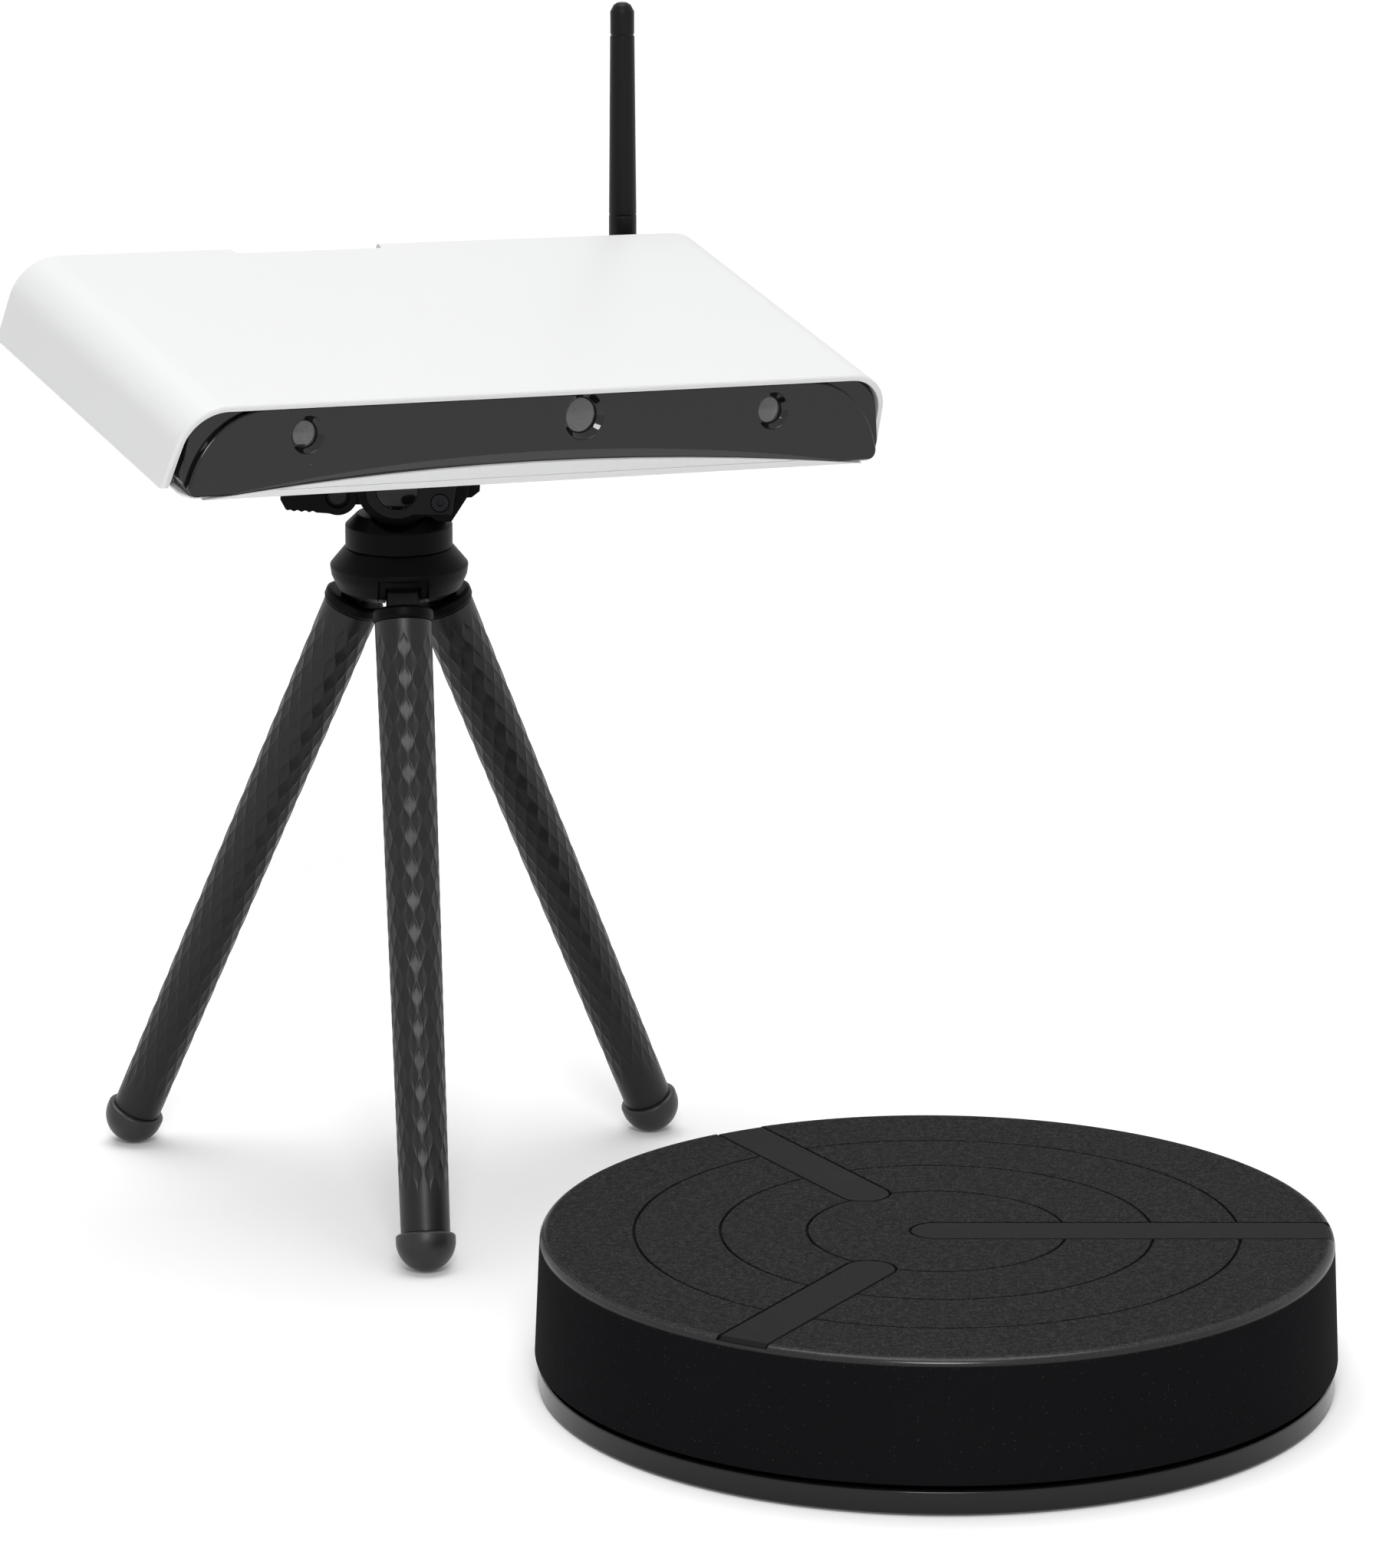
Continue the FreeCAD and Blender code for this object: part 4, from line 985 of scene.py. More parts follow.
@dataclass(frozen=True)
class Stand:
    """Where a sub-assembly stands, and the CAD body it moves with."""

    body: str
    place: Matrix

    def put(self, form: Form, name: str, finish: Finish | bpy.types.Material,
            stands_for: Iterable[str] = (), slot: str | None = None,
            smooth: float = 34.0) -> bpy.types.Object:
        """Makes a form into a finished piece.

        Args:
            form: The form, in millimetres on the stand's axes.
            name: The piece's name.
            finish: Its finish, or a material of its own.
            stands_for: The CAD nodes it stands for.
            slot: The record's material slot, where the finish is a material; not used.
            smooth: Edges sharper than this stay sharp, in degrees.

        Returns:
            The piece.
        """
        form.moved(self.place @ Matrix.Scale(MM, 4))
        mesh = bpy.data.meshes.new(name)
        form.mesh.to_mesh(mesh)
        form.mesh.free()
        for face in mesh.polygons:
            face.use_smooth = True
        mesh.set_sharp_from_angle(angle=math.radians(smooth))
        mesh.materials.append(Palette.of(finish) if isinstance(finish, Finish) else finish)
        piece = bpy.data.objects.new(name, mesh)
        bpy.context.scene.collection.objects.link(piece)
        even = piece.modifiers.new("even", "WEIGHTED_NORMAL")
        even.keep_sharp = True
        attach(piece, self.body)
        if stands_for:
            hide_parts(*stands_for)
        LOG.info("%s on %s: %d faces", name, self.body, len(mesh.polygons))
        return piece

    def local(self, node: str) -> Form:
        """A merged copy of a CAD node's mesh on the stand's own axes."""
        back = Matrix.Scale(1.0 / MM, 4) @ self.place.inverted() @ Matrix.Scale(MM, 4)
        return Form.of_node(node).moved(back)

    def ease(self, node: str, finish: Finish, width: float = 0.25, segments: int = 2,
             angle: float = 32.0) -> bpy.types.Object:
        """Replaces a CAD node by a copy whose edges are rounded.

        Args:
            node: The CAD node.
            finish: The copy's finish.
            width: How far each rounding reaches, in millimetres.
            segments: How many spans it has.
            angle: The least angle that is rounded, in degrees.

        Returns:
            The piece.
        """
        form = self.local(node).softened(width, segments, angle)
        return self.put(form, f"{node}_skin", finish, (node,))


def dress(finish: Finish, *nodes: str) -> None:
    """Gives CAD nodes that keep their shape a finish.

    Args:
        finish: The finish.
        *nodes: The CAD nodes.
    """
    for node in nodes:
        held = frame["nodes"][node]
        held.data.materials.clear()
        held.data.materials.append(Palette.of(finish))
        LOG.info("%s keeps its shape, in %s", node, finish.name.lower())


# ---------------------------------------------------------------- places


class Places:
    """The stands of all sub-assemblies, worked out from the CAD joints.

    HEAD_SHIFT leads from the ball to the head's axes, in millimetres. LEG_TILTS are the legs'
    angles from upright, in degrees.
    """

    HEAD_SHIFT = Vector((8.2, -5.7, 33.0))
    LEG_TILTS = (24.2, 23.3, 24.4)

    def __init__(self) -> None:
        """Reads the joints' places and axes."""
        self.joints = {j["name"]: j for j in frame["joints"]}
        table, hub = self.pivot("platter_spin"), self.pivot("pan_turn")
        self.table = Matrix.Translation((table.x, table.y, 0))
        self.hub = Matrix.Translation((hub.x, hub.y, 0))
        wide, rear = self.axis("ball_nod"), self.axis("ball_tilt")
        turn = Matrix((wide, rear, wide.cross(rear))).transposed().to_4x4()
        self.ball = Matrix.Translation(self.pivot("ball_nod")) @ turn
        self.head = self.ball @ Matrix.Translation(self.HEAD_SHIFT * MM)
        fold = self.axis("aerial_fold")
        yaw = math.atan2(fold.y, fold.x)
        self.aerial = (Matrix.Translation(self.pivot("aerial_fold"))
                       @ Matrix.Rotation(yaw, 4, "Z"))

    def pivot(self, joint: str) -> Vector:
        """A joint's point, in metres."""
        return Vector(self.joints[joint]["pos_m"])

    def axis(self, joint: str) -> Vector:
        """A joint's axis."""
        return Vector(self.joints[joint]["axis"]).normalized()

    def leg(self, k: int) -> Matrix:
        """Works out the axes of a leg, whose z runs up to its hinge.

        Args:
            k: The leg's number, 1 to 3.

        Returns:
            The axes.
        """
        across = self.axis(f"leg_fold_{k}")
        angle = math.atan2(-across.x, across.y)
        return (Matrix.Translation(self.pivot(f"leg_fold_{k}"))
                @ Matrix.Rotation(angle, 4, "Z")
                @ Matrix.Rotation(-math.radians(self.LEG_TILTS[k - 1]), 4, "Y"))


# ---------------------------------------------------------------- the turntable


@dataclass
class Turntable:
    """The round turntable: a drum-shaped platter in a grit coat over a glossy base ring."""

    radius: float = 130.0
    top_radius: float = 128.2
    height: float = 50.9
    skirt_low: float = 10.3
    skirt_thick: float = 3.2
    top_thick: float = 4.0
    shoulder: float = 2.4
    foot_round: float = 0.7
    round_steps: int = 8
    steps: int = 256
    boss_radius: float = 14.0
    boss_low: float = 38.0
    spindle: float = 6.0
    spindle_deep: float = 6.0
    ring_radii: tuple[float, ...] = (41.9, 69.9, 97.8)
    groove: float = 0.9
    groove_wall: tuple[Point, ...] = ((0.3, 0.0), (0.1, 0.03), (0.0, 0.14), (-0.06, 1.1))
    strip_wide: float = 18.1
    strip_deep: float = 1.2
    strip_runs: tuple[Point, ...] = ((0.0, 0.0), (120.0, 45.4), (240.0, 45.4))
    past_rim: float = 5.0
    past_top: float = 2.0
    nose_steps: int = 24
    screw_circle: float = 94.0
    underside: float = 1.5
    lip_clear: float = 2.6
    lip_thick: float = 1.4
    lip_low: float = 3.4
    lip_rise: float = 4.0
    lip_steps: int = 192
    socket_wide: float = 13.6
    socket_deep: float = 10.0

    def build(self, places: Places) -> None:
        """Makes the platter with its strips, and the base with its works.

        Args:
            places: The stands of the sub-assemblies.
        """
        turning, still = Stand("platter", places.table), Stand("turntable_base", places.table)
        coat = GritCoat(places.table.translation.copy(), self.radius, self.height * MM)
        grit = coat.make("grit_coat")
        turning.put(self.drum(), "platter_drum", grit, ("platter",), "black_texture")
        turning.ease("platter_strips", Finish.STRIP, width=0.3, segments=3)
        still.ease("base_shell", Finish.RING, width=0.35, segments=3)
        still.ease("base_feet", Finish.FOOT, width=0.5)
        still.ease("drive_socket", Finish.BODY, width=0.12, segments=1)
        still.put(self.base_screws(), "base_screws", Finish.STEEL)
        still.put(self.dust_lip(), "dust_lip", Finish.BODY)
        dress(Finish.STEEL, "bearing", "motor", "spindle", "motor_pinion")
        dress(Finish.GEAR, "platter_gear", "idler_gear")
        dress(Finish.BOARD, "drive_board")

    def drum(self) -> Form:
        """Turns the drum with its ring grooves, and cuts out the beds of its strips.

        Returns:
            The platter.
        """
        high, half = self.height, self.groove / 2
        under, bore = high - self.top_thick, self.boss_low + self.spindle_deep
        top: list[Point] = [(0.0, bore), (0.0, high)]
        for r in self.ring_radii:
            top += [(r - half - out, high - down) for out, down in self.groove_wall]
            top += [(r + half + out, high - down) for out, down in reversed(self.groove_wall)]
        inner = self.radius - self.skirt_thick
        rest = [(self.top_radius, high), (self.radius, self.skirt_low), (inner, self.skirt_low),
                (self.top_radius - self.skirt_thick, under), (self.boss_radius, under),
                (self.boss_radius, self.boss_low), (self.spindle, self.boss_low),
                (self.spindle, bore), (0.0, bore)]
        count = len(top)
        profile = eased(top + rest, {count: self.shoulder, count + 1: self.foot_round,
                                     count + 2: self.foot_round}, self.round_steps)
        beds = [self.bed(degrees, start) for degrees, start in self.strip_runs]
        return Form.turned(profile, self.steps).minus(*beds)

    def bed(self, degrees: float, start: float) -> Form:
        """Makes the pocket that a strip lies in.

        Args:
            degrees: The way that it points.
            start: The radius at which its round nose is centred.

        Returns:
            The cutter.
        """
        half, far = self.strip_wide / 2, self.radius + self.past_rim
        nose = arc((start, 0.0), half, 90, 270, self.nose_steps)
        form = Form.plate([(far, -half), (far, half), *nose],
                          self.height - self.strip_deep, self.height + self.past_top)
        return form.turn("Z", degrees)

    def dust_lip(self) -> Form:
        """Turns the thin upright ring in the base that closes the gap under the drum.

        Returns:
            The ring, open at the power socket.
        """
        outer = self.radius - self.skirt_thick - self.lip_clear
        low, high = self.lip_low, self.skirt_low + self.lip_rise
        section = [(outer - self.lip_thick, low), (outer, low), (outer, high),
                   (outer - self.lip_thick, high)]
        socket = Form.block((self.socket_wide, self.socket_deep, 4 * high), (0.0, outer, low))
        return Form.turned(section, self.lip_steps, closed=True).minus(socket)

    def base_screws(self) -> Form:
        """Stands four cross-recessed screws on the underside, between the pads.

        Returns:
            The screws' heads.
        """
        screws = Form()
        for degrees in (0, 90, 180, 270):
            screw = Screw().build().turn("X", 180)
            screws.joined(screw.at(self.screw_circle, 0, self.underside).turn("Z", degrees))
        return screws


@dataclass
class Screw:
    """A pan-head screw's head with a cross recess, standing on z = 0.

    The crown is given as shares of the head's radius and height.
    """

    radius: float = 2.9
    height: float = 1.2
    sunk: float = 0.4
    crown: tuple[Point, ...] = ((1.0, 0.35), (0.9, 0.75), (0.62, 0.96), (0.0, 1.0))
    slot_long: float = 3.0
    slot_wide: float = 0.6
    slot_share: float = 1.2
    steps: int = 32

    def build(self) -> Form:
        """Turns the head and cuts the cross.

        Returns:
            The head.
        """
        profile = [(0.0, -self.sunk), (self.radius - 0.1, -self.sunk), (self.radius, 0.05),
                   *[(self.radius * out, self.height * up) for out, up in self.crown]]
        head = Form.turned(profile, self.steps)
        deep, middle = self.height * self.slot_share, (0.0, 0.0, self.height)
        return head.minus(Form.block((self.slot_long, self.slot_wide, deep), middle),
                          Form.block((self.slot_wide, self.slot_long, deep), middle))


# ---------------------------------------------------------------- the tripod


@dataclass
class Leg:
    """A flexible leg: a dimpled rubber sleeve between its hinge collar and its round foot."""

    number: int
    facing: float
    top: float = 12.7
    end: float = 222.8
    top_radius: float = 9.8
    end_radius: float = 8.4
    core: float = 3.05
    columns: int = 26
    across: int = 8
    pitch: float = 10.96
    along: int = 12
    plain_top: float = 4.9
    plain_end: float = 8.0
    swing: float = 0.43
    skew: float = 0.065
    deep: float = 0.3
    peak: float = 0.62

    def build(self, places: Places) -> None:
        """Makes the sleeve, and eases the collar and the foot.

        Args:
            places: The stands of the sub-assemblies.
        """
        leg = f"leg_{self.number}"
        stand = Stand(leg, places.leg(self.number))
        stand.put(self.sleeve(), f"{leg}_dimples", Finish.LEG, (f"{leg}_sleeve",), smooth=70.0)
        stand.ease(f"{leg}_collar", Finish.BODY, width=0.35, segments=3)
        stand.ease(f"{leg}_foot", Finish.FOOT, width=0.4)
        dress(Finish.STEEL, f"{leg}_core")

    def sleeve(self) -> Form:
        """Rolls a grid into the sleeve and presses the dimples into it.

        Returns:
            The sleeve, closed at both ends.
        """
        length = self.end - self.top
        rows = round(length / self.pitch * self.along)
        count = self.columns * self.across
        form = Form()
        bmesh.ops.create_grid(form.mesh, x_segments=count, y_segments=rows, size=1.0)
        for vert in form.mesh.verts:
            u = (vert.co.x + 1) / 2 * count / self.across
            down = (1 - vert.co.y) / 2 * length
            vert.co = self.pressed(u, down, down / length)
        rim = [e for e in form.mesh.edges if e.is_boundary
               and abs(e.verts[0].co.z - e.verts[1].co.z) < NEAR / 100]
        for end in (-self.top, -self.end):
            loop = [e for e in rim if abs(e.verts[0].co.z - end) < NEAR]
            made = bmesh.ops.extrude_edge_only(form.mesh, edges=loop)
            for vert in (v for v in made["geom"] if isinstance(v, bmesh.types.BMVert)):
                flat = Vector((vert.co.x, vert.co.y, 0)).normalized() * self.core
                vert.co = (flat.x, flat.y, end)
        bmesh.ops.remove_doubles(form.mesh, verts=form.mesh.verts, dist=NEAR)
        holes = [e for e in form.mesh.edges if e.is_boundary]
        bmesh.ops.holes_fill(form.mesh, edges=holes, sides=0)
        return form.outward()

    def pressed(self, u: float, down: float, share: float) -> Vector:
        """Where a point of the flat grid lies on the dimpled sleeve.

        Args:
            u: Its place round the sleeve, in columns.
            down: How far it is below the sleeve's top.
            share: The same as a share of the sleeve's length.

        Returns:
            The point.
        """
        column = min(int(u), self.columns - 1)
        across = (u - column) * 2 - 1
        v, offset = (down - self.plain_top) / self.pitch, 0.5 * (column % 2)
        left, right = self.ridge(column, v), self.ridge(column + 1, v)
        place = (left + right) / 2 + across * (right - left) / 2
        row = v - offset
        step = row - math.floor(row)
        dimpled = self.end - self.top - self.plain_top - self.plain_end
        last = math.floor(dimpled / self.pitch - offset)
        radius = self.top_radius + (self.end_radius - self.top_radius) * share
        if 0 <= math.floor(row) < last:
            radius -= self.deep * math.sin(math.pi * step ** self.peak) * (1 - across * across)
        angle = math.radians(self.facing + (place - 0.5) * 360 / self.columns)
        return Vector((radius * math.cos(angle), radius * math.sin(angle), -self.top - down))

    def ridge(self, line: int, v: float) -> float:
        """Where the ridge on the left of a column runs, in columns."""
        side = 1 if line % 2 else -1
        return line - side * self.swing * math.cos(math.tau * (v + self.skew))


@dataclass
class Tripod:
    """The hub, its three legs, the panning collar and the ball clamp with its lever."""

    facings: tuple[float, ...] = (-3.6, -120.0, 116.0)
    sleeve_ends: tuple[float, ...] = (222.83, 221.27, 223.18)

    def build(self, places: Places) -> None:
        """Makes the legs and eases the hub and the head above it.

        Args:
            places: The stands of the sub-assemblies.
        """
        hub, pan = Stand("tripod", places.hub), Stand("pan_head", places.hub)
        hub.ease("tripod_hub", Finish.BODY, width=0.5, segments=3)
        hub.ease("leg_pins", Finish.BLACKED, width=0.2)
        for number, (facing, end) in enumerate(zip(self.facings, self.sleeve_ends), start=1):
            Leg(number, facing, end=end).build(places)
        pan.ease("pan_collar", Finish.BODY, width=0.4, segments=3)
        pan.ease("clamp_body", Finish.BODY, width=0.4, segments=3)
        pan.ease("front_cheek", Finish.SATIN, width=0.45, segments=3)
        pan.ease("badge_cap", Finish.BADGE, width=0.3, segments=3)
        pan.ease("hinge_screw", Finish.BLACKED, width=0.15)
        pan.ease("lever_pin", Finish.BLACKED, width=0.25)
        Stand("lever", places.hub).ease("lock_lever", Finish.BODY, width=0.4, segments=3)
        Stand("release", places.hub).ease("release_tab", Finish.BODY, width=0.35, segments=3)
        scanner = Stand("scanner", places.ball)
        scanner.ease("platform", Finish.BODY, width=0.4, segments=3)
        scanner.ease("platform_pad", Finish.FOOT, width=0.2)
        dress(Finish.SATIN, "ball_liner")
        dress(Finish.STEEL, "ball", "platform_screw", "pan_bolt")


# ---------------------------------------------------------------- the sensor head


@dataclass
class Cover:
    """The head's white cover: a thin arch, raked in front and notched behind."""

    wide: float = 282.4
    top_wide: float = 274.8
    low: float = 0.6
    high: float = 30.9
    corner: float = 16.3
    corner_steps: int = 20
    deep: float = 125.0
    wall: float = 2.0
    lip: float = 1.3
    rear_lip: float = 0.6
    rake: float = 3.1
    rake_room: float = 8.0
    past_rear: float = 5.0
    past_front: float = 12.0
    notch_wide: float = 58.0
    notch_at: float = -27.0
    notch_deep: float = 4.0
    notch_block: float = 20.0
    notch_round: float = 1.5

    def build(self, stand: Stand) -> None:
        """Makes the cover."""
        stand.put(self.shell(), "cover_shell", Finish.COVER, ("top_cover",))

    def arch(self, inset: float) -> list[Point]:
        """Draws the outline from the front.

        Args:
            inset: How far it is set in; where it is, its foot runs out below the cover.

        Returns:
            The outline's points.
        """
        low = self.low - self.past_rear if inset else self.low
        half, top, high = self.wide / 2 - inset, self.top_wide / 2 - inset, self.high - inset
        corners = [(-half, low), (half, low), (top, high), (-top, high)]
        turn = self.corner - inset
        return eased(corners, {2: turn, 3: turn}, self.corner_steps, closed=True)

    def shell(self) -> Form:
        """Bends the arch, rolls its front lip, hollows it and cuts the notch.

        Returns:
            The cover.
        """
        deep = self.deep / 2
        form = Form.slab(self.arch(0), deep, -deep - self.rake_room)
        rake = Vector((0, -self.high, -self.rake)).normalized()
        crest = Vector((0, -deep, self.high))
        form.cut_by(crest, rake)
        form.softened(self.lip, segments=6, angle=30.0, pick=lambda e: all(
            abs((v.co - crest).dot(rake)) < 10 * NEAR for v in e.verts))
        form.softened(self.rear_lip, segments=3, angle=30.0,
                      pick=lambda e: all(v.co.y > deep - 10 * NEAR for v in e.verts))
        side = self.notch_block
        notch = Form.block((self.notch_wide, side, side),
                           (self.notch_at, deep - self.notch_deep + side / 2, self.high))
        hollow = Form.slab(self.arch(self.wall), deep + self.past_rear, -deep - self.past_front)
        return form.minus(hollow, notch.softened(self.notch_round, segments=4, angle=30.0))


@dataclass(frozen=True)
class Window:
    """One of the dark front's windows: its place, its radius on the face and its lens's."""

    x: float
    z: float
    rim: float
    lens: float


@dataclass
class Front:
    """The head's dark front: a leaning face with a brow, a facet over the chin, and windows."""

    wide: float = 275.6
    top_wide: float = 268.0
    low: float = 1.0
    high: float = 28.65
    low_round: float = 6.0
    top_round: float = 13.0
    flange_lip: float = 0.35
    brow_low: float = 136.5
    brow_top: float = 127.5
    brow_high: float = 28.4
    brow_foot: float = 3.0
    brow_round: float = 30.0
    brow_step: float = 2.2
    brow_lip: float = 0.7
    face_y: float = 68.0
    lean: float = 14.5865
    room: float = 12.0
    rear: float = 54.0
    floor: float = 2.0
    hollow: float = 2.5
    hollow_top: float = 0.4
    chin_half: float = 130.0
    chin_rise: float = 6.5
    chin_front: float = 14.0
    chin_back: float = 24.0
    chin_steps: int = 720
    facet_rise: float = 10.4
    facet_slope: float = 2.6
    window_steps: int = 72
    lens_steps: int = 64
    windows: tuple[Window, ...] = (Window(-91.5, 19.4, 6.3, 4.65), Window(15.5, 20.9, 8.0, 6.0),
                                   Window(91.5, 19.4, 6.3, 4.65))

    def build(self, stand: Stand) -> None:
        """Makes the front, whose facet takes a paler copy of the gloss finish as painted
        reflection, and the glasses behind it.

        Args:
            stand: Where the head stands.
        """
        face = stand.put(self.panel(), "front_face", Finish.PANEL, ("front_panel",))
        # the facet's second material: the paler gloss, painted reflection
        face.data.materials.append(Palette.of(Finish.FACET_PAINTED_REFLECTION))
        self.eyes(stand)

    def axes(self) -> Matrix:
        """The leaning face's axes: x across, z up the face, y into the head."""
        return (Matrix.Translation((0, -self.face_y, 0))
                @ Matrix.Rotation(-math.radians(self.lean), 4, "X"))

    def window_axes(self, window: Window) -> Matrix:
        """Works out a window's axes, whose z runs into the head, square to the face.

        Args:
            window: The window.

        Returns:
            Its axes.
        """
        y = window.z * math.tan(math.radians(self.lean)) - self.face_y
        return (Matrix.Translation((window.x, y, window.z))
                @ Matrix.Rotation(-math.radians(self.lean + 90), 4, "X"))

    def outline(self, inset: float) -> list[Point]:
        """Draws the outline at the flange.

        Args:
            inset: How far it is set in.

        Returns:
            The outline's points.
        """
        low, high = self.low + inset, self.high - self.hollow_top * inset
        half, top = self.wide / 2 - inset, self.top_wide / 2 - inset
        corners = [(-half, low), (half, low), (top, high), (-top, high)]
        small, large = self.low_round - inset, self.top_round - inset
        return eased(corners, {0: small, 1: small, 2: large, 3: large}, steps=14, closed=True)

    def brow(self) -> list[Point]:
        """Draws the raised face's outline, with wide round upper corners.

        Returns:
            The outline's points.
        """
        half, top, high = self.brow_low, self.brow_top, self.brow_high
        corners = [(-half, self.low), (half, self.low), (top, high), (-top, high)]
        turns = {0: self.brow_foot, 1: self.brow_foot, 2: self.brow_round, 3: self.brow_round}
        return eased(corners, turns, steps=24, closed=True)

    def wedge(self, outline: Sequence[Point], setback: float, back: float) -> Form:
        """Makes a block with an outline's shape, cut off by a plane that leans as the face does.

        Args:
            outline: Its outline from the front.
            setback: How far its front is set back from the face.
            back: The y of its rear.

        Returns:
            The wedge.
        """
        form = Form.slab(outline, back, -self.face_y - self.room)
        lean = math.radians(self.lean)
        return form.cut_by((0, setback - self.face_y, 0),
                           Vector((0, -math.cos(lean), math.sin(lean))))

    def rolled(self, form: Form, setback: float, width: float) -> Form:
        """Rounds a wedge's front rim.

        Args:
            form: The wedge.
            setback: How far its front is set back from the face.
            width: How far the rounding reaches.

        Returns:
            The wedge.
        """
        slope = math.tan(math.radians(self.lean))
        return form.softened(width, segments=5, angle=30.0, pick=lambda e: all(
            abs(v.co.y + self.face_y - setback - v.co.z * slope) < 10 * NEAR for v in e.verts))

    def dish(self, rise: float, slope: float) -> Form:
        """Makes the wide drum under the chin's arc; with a slope it narrows into the head.

        Args:
            rise: How high the arc stands over its chord on the face.
            slope: How much narrower it gets for each millimetre.

        Returns:
            The cutter, in its place.
        """
        radius = (self.chin_half ** 2 + rise ** 2) / (2 * rise)
        front, back = self.chin_front, self.chin_back
        ends = [(0.0, -front), (radius + front * slope, -front), (radius - back * slope, back),
                (0.0, back)]
        form = Form.turned(ends, self.chin_steps).turn("X", -90)
        return form.at(0, 0, rise - radius).moved(self.axes())

    def panel(self) -> Form:
        """Makes the dark front: a hollow wedge with a brow, a facet over the chin, and bores.

        Returns:
            The front, whose facet takes the second finish, the paler gloss that paints its
            reflection.
        """
        step = self.brow_step
        shell = self.rolled(self.wedge(self.outline(0), step, -self.rear), step, self.flange_lip)
        brow = self.wedge(self.brow(), 0, -self.rear - self.floor)
        shell.plus(self.rolled(brow, 0, self.brow_lip))
        facet = self.dish(self.facet_rise, self.facet_slope)
        for side in facet.mesh.faces:
            side.material_index = 1
        hollow = self.wedge(self.outline(self.hollow), self.hollow + step, self.floor - self.rear)
        bores = [self.bore(window) for window in self.windows]
        return shell.minus(hollow, facet, self.dish(self.chin_rise, 0.0), *bores)

    def bore(self, window: Window) -> Form:
        """Makes a window's bore: a polished cone from its rim down to its lens.

        Args:
            window: The window.

        Returns:
            The cutter, in its place.
        """
        rim, seat, above, below = window.rim, window.lens + 0.05, -4.0, 9.0
        profile = [(0.0, above), (rim + 0.35, above), (rim + 0.35, -0.3), (rim + 0.12, 0.02),
                   (rim - 0.1, 0.35), (window.lens + 0.35, 1.45), (seat, 1.75), (seat, below),
                   (0.0, below)]
        return Form.turned(profile, self.window_steps).moved(self.window_axes(window))

    def eyes(self, stand: Stand) -> None:
        """Dresses the camera and projector barrels and makes their coated glasses.

        Args:
            stand: Where the head stands.
        """
        dress(Finish.SATIN, "camera_left", "camera_right", "projector")
        left, middle, right = self.windows
        for name, node, seats in (("eye_glass", "camera_lenses", (left, right)),
                                  ("lamp_glass", "projector_lens", (middle,))):
            form = Form().joined(*[self.glass(seat) for seat in seats])
            axes = stand.place @ Matrix.Scale(MM, 4) @ self.window_axes(seats[0])
            turn = axes.to_3x3().normalized().to_4x4()
            coat = LensGlass(axes.translation.copy(), turn, seats[0].lens)
            stand.put(form, name, coat.make(name), (node,), "glass")

    def glass(self, window: Window) -> Form:
        """Makes a domed lens in its seat.

        Args:
            window: The window that it sits in.

        Returns:
            The lens, in its place.
        """
        radius, edge, back, spans = window.lens, window.lens - 0.02, 4.35, 12
        dome = [(radius * k / spans, 1.66 + 0.72 * (k / spans) ** 2) for k in range(spans)]
        profile = [*dome, (edge, 2.4), (edge, back), (0.0, back)]
        return Form.turned(profile, self.lens_steps).moved(self.window_axes(window))


@dataclass
class Ports:
    """The sockets in the head's rear side, with what shows inside them."""

    rear_y: float = 61.7
    board_top: float = 7.6
    network_x: float = 18.0
    lining: Triple = (11.76, 10.58, 8.36)
    lining_low: float = 3.02
    lining_short: float = 0.4
    lining_side: float = 0.38
    lining_back: float = 0.6
    lining_top: float = 0.4
    contact: Triple = (0.44, 7.2, 0.3)
    contacts: int = 8
    contact_pitch: float = 1.02
    contact_tilt: float = 17.0
    contact_in: float = 6.2
    contact_rise: float = 9.6
    usb_x: float = 48.0
    tongue: Triple = (11.08, 8.4, 1.7)
    tongue_in: float = 6.7
    tongue_rises: tuple[float, ...] = (4.7, 11.9)

    def build(self, stand: Stand) -> None:
        """Eases the sockets and fills them.

        Args:
            stand: Where the head stands.
        """
        stand.ease("network_socket", Finish.SHIELD, width=0.2, segments=1)
        stand.ease("usb_socket", Finish.SHIELD, width=0.15, segments=1)
        stand.ease("power_socket", Finish.SATIN, width=0.15, segments=1)
        stand.put(self.network_insert(), "network_insert", Finish.SATIN)
        stand.put(self.network_contacts(), "network_contacts", Finish.GOLD)
        stand.put(self.usb_tongues(), "usb_tongues", Finish.SATIN)

    def network_insert(self) -> Form:
        """Makes the black lining of the network socket's cavity.

        Returns:
            The lining, open behind and below.
        """
        wide, deep, high = self.lining
        y = self.rear_y - self.lining_short - deep / 2
        z = self.board_top + self.lining_low + high / 2
        lining = Form.block(self.lining, (self.network_x, y, z))
        room = Form.block((wide - 2 * self.lining_side, deep, high),
                          (self.network_x, y + self.lining_back, z - self.lining_top))
        return lining.minus(room)

    def network_contacts(self) -> Form:
        """Makes the sprung contacts that slope down into the network socket.

        Returns:
            The contacts.
        """
        row = Form()
        y, z = self.rear_y - self.contact_in, self.board_top + self.contact_rise
        for k in range(self.contacts):
            x = self.network_x + (k - (self.contacts - 1) / 2) * self.contact_pitch
            wire = Form.block(self.contact, (0.0, 0.0, 0.0)).turn("X", self.contact_tilt)
            row.joined(wire.at(x, y, z))
        return row

    def usb_tongues(self) -> Form:
        """Makes the plastic tongues of the stacked USB socket.

        Returns:
            The tongues.
        """
        tongues = Form()
        for rise in self.tongue_rises:
            middle = (self.usb_x, self.rear_y - self.tongue_in, self.board_top + rise)
            tongues.joined(Form.block(self.tongue, middle))
        return tongues


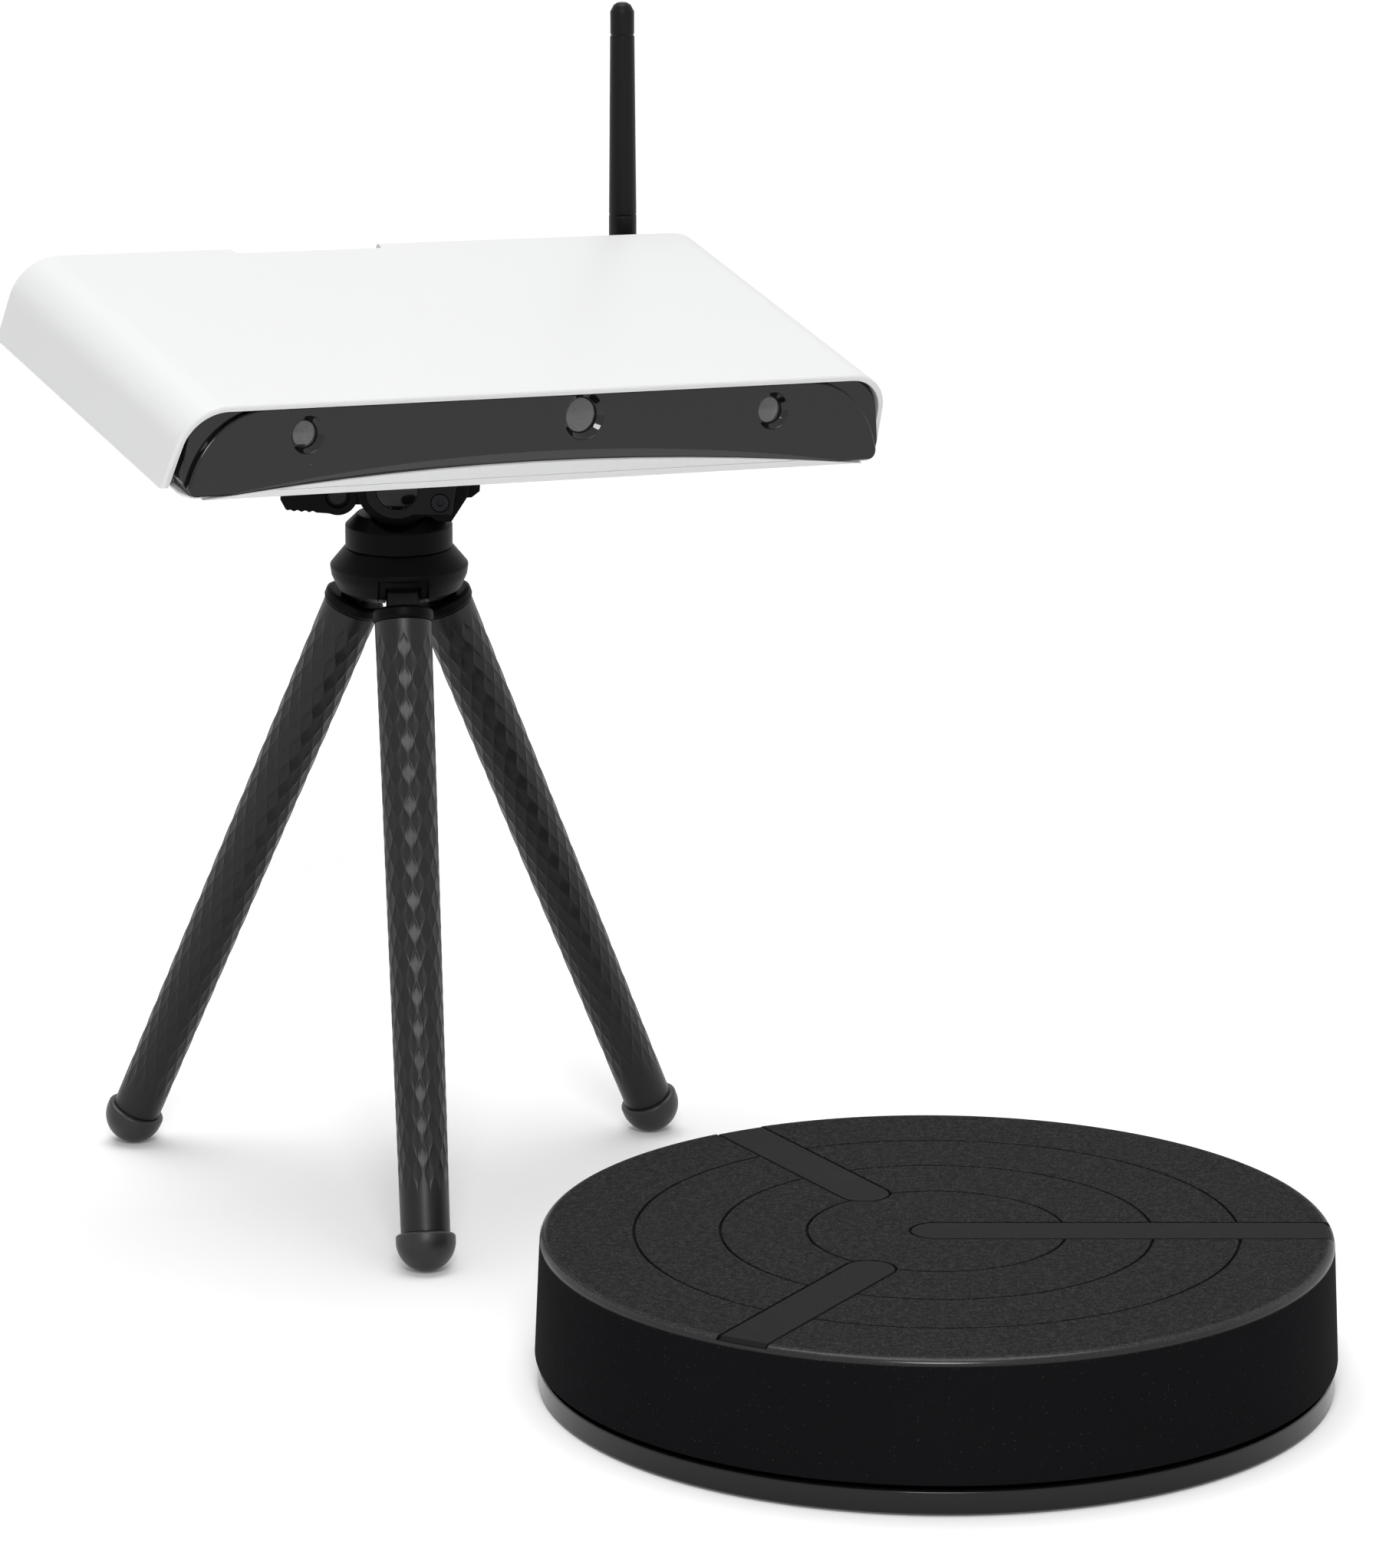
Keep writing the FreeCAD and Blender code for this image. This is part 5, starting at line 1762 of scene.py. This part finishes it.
@dataclass
class Head:
    """The sensor head: cover and tray round the dark front, and the rear with its aerial."""

    bead: Triple = (264.0, 0.4, 0.2)
    bead_rise: float = 2.25

    def build(self, places: Places) -> None:
        """Makes the head's shell, its front, its rear side and what is inside.

        Args:
            places: The stands of the sub-assemblies.
        """
        stand, front = Stand("scanner", places.head), Front()
        Cover().build(stand)
        stand.put(self.tray(stand, front), "tray_shell", Finish.COVER, ("bottom_tray",))
        front.build(stand)
        stand.ease("back_panel", Finish.ROD, width=0.3, segments=2)
        Ports().build(stand)
        stand.ease("aerial_stub", Finish.BRASS, width=0.2)
        Stand("button", places.head).ease("power_button", Finish.SATIN, width=0.5, segments=3)
        Stand("aerial_base", places.head).ease("aerial_knuckle", Finish.ROD, width=0.3, segments=2)
        Stand("aerial", places.aerial).ease("aerial_rod", Finish.ROD, width=0.3, segments=2)
        dress(Finish.BRASS, "thread_bush")
        dress(Finish.ALLOY, "optical_bench", "heat_sink")
        dress(Finish.BOARD, "main_board")

    def tray(self, stand: Stand, front: Front) -> Form:
        """Eases the tray and cuts a parting line, so that a bead edges the chin.

        Args:
            stand: Where the head stands.
            front: The dark front that the line runs along.

        Returns:
            The tray.
        """
        line = Form.block(self.bead, (0, 0, self.bead_rise)).moved(front.axes())
        return stand.local("bottom_tray").softened(0.3, segments=2, angle=45.0).minus(line)


# ---------------------------------------------------------------- the studio


@dataclass
class Studio:
    """A white sweep under soft overhead light, and the camera in front of the turntable."""

    camera_at: Triple = (0.0135, -2.4642, 0.8171)
    camera_pitch: float = 75.3384
    lens: float = 176.125
    long_side: float = 36.0
    floor: float = 24.0
    paper: tuple[Colour, Colour] = ((0.96, 0.96, 0.96), (0.975, 0.975, 0.975))
    paper_mm: float = 600.0
    paper_rough: float = 0.9
    paper_sheen: float = 0.05
    paper_lift: float = 0.085
    horizon: float = 0.04
    zenith: float = 0.58
    sun_wide: float = 46.0
    sun_strength: float = 1.7
    sun_tips: Triple = (-5.0, -1.0, 0.0)
    box_at: Triple = (0.05, -2.1, 1.7)
    box_to: Triple = (-0.05, 0.0, 0.15)
    box_size: tuple[float, float] = (0.7, 0.6)
    box_watts: float = 24.0
    clear_rays: tuple[str, ...] = ("Is Camera Ray", "Is Glossy Ray", "Is Transmission Ray")

    def build(self) -> None:
        """Makes the floor, the world, the lights and the camera."""
        self.sweep()
        self.world()
        self.sun()
        self.front_box()
        self.aim()

    def sweep(self) -> None:
        """Makes the floor, nearly white, with the soft unevenness of paper."""
        form = Form()
        bmesh.ops.create_grid(form.mesh, x_segments=2, y_segments=2, size=self.floor / 2 / MM)
        mesh = bpy.data.meshes.new("sweep")
        form.moved(Matrix.Scale(MM, 4)).mesh.to_mesh(mesh)
        r = Recipe("paper")
        seen = r.node("ShaderNodeLightPath")
        camera, glossy, through = (Level(r, seen.outputs[ray]) for ray in self.clear_rays)
        lift = r.tint(camera + glossy + through, (0.0, 0.0, 0.0), (self.paper_lift,) * 3)
        mesh.materials.append(r.done(
            Base_Color=r.tint(r.noise(self.paper_mm), *self.paper), Roughness=self.paper_rough,
            Specular_IOR_Level=self.paper_sheen, Emission_Color=lift, Emission_Strength=1.0))
        floor = bpy.data.objects.new("sweep", mesh)
        bpy.context.scene.collection.objects.link(floor)

    def world(self) -> None:
        """Makes a white room: it lights from above, and is seen and mirrored as plain white."""
        world = bpy.data.worlds.new("room")
        bpy.context.scene.world = world
        room = Graph(world)
        way = room.node("ShaderNodeTexCoord").outputs["Generated"]
        height = room.node("ShaderNodeSeparateXYZ", {}, {0: way}).outputs["Z"]
        rise = room.node("ShaderNodeMapRange", {}, {
            "Value": height, "To Min": self.horizon, "To Max": self.zenith})
        strength = Level(room, rise.outputs["Result"])
        seen = room.node("ShaderNodeLightPath")
        for ray in self.clear_rays:
            strength = strength.at_least(Level(room, seen.outputs[ray]))
        shade = room.node("ShaderNodeBackground", {}, {
            "Color": (1.0, 1.0, 1.0, 1.0), "Strength": strength.socket})
        room.node("ShaderNodeOutputWorld", {}, {"Surface": shade.outputs[0]})

    def sun(self) -> None:
        """Hangs a broad overhead light that gives the shadows under the pieces."""
        lamp = bpy.data.lights.new("overhead", "SUN")
        lamp.angle = math.radians(self.sun_wide)
        lamp.energy = self.sun_strength
        self.hang(lamp, (0.0, 0.0, 0.0), [math.radians(tip) for tip in self.sun_tips])

    def front_box(self) -> None:
        """Hangs a soft rectangular light over the camera."""
        lamp = bpy.data.lights.new("front_box", "AREA")
        lamp.shape = "RECTANGLE"
        lamp.size, lamp.size_y = self.box_size
        lamp.energy = self.box_watts
        way = Vector(self.box_to) - Vector(self.box_at)
        self.hang(lamp, self.box_at, way.to_track_quat("-Z", "Y").to_euler())

    def aim(self) -> None:
        """Places the camera, level left to right and tipped down a little."""
        eye = bpy.data.cameras.new("camera")
        eye.lens, eye.sensor_width, eye.sensor_fit = self.lens, self.long_side, "AUTO"
        scene = bpy.context.scene
        scene.camera = self.hang(eye, self.camera_at, (math.radians(self.camera_pitch), 0.0, 0.0))
        scene.view_settings.view_transform = "Standard"

    @staticmethod
    def hang(data: bpy.types.Light | bpy.types.Camera, at: Sequence[float],
             turns: Sequence[float]) -> bpy.types.Object:
        """Puts a lamp or a camera in its place.

        Args:
            data: The lamp or the camera.
            at: Where it hangs, in metres.
            turns: How it is turned round x, y and z, in radians.

        Returns:
            The object.
        """
        holder = bpy.data.objects.new(data.name, data)
        holder.location, holder.rotation_euler = at, turns
        bpy.context.scene.collection.objects.link(holder)
        return holder


def main() -> None:
    """Builds the sub-assemblies in order, then the studio."""
    logging.basicConfig(level=logging.INFO, format="%(message)s")
    places = Places()
    for unit in (Turntable(), Tripod(), Head()):
        unit.build(places)
    Studio().build()


if __name__ == "__main__":
    main()
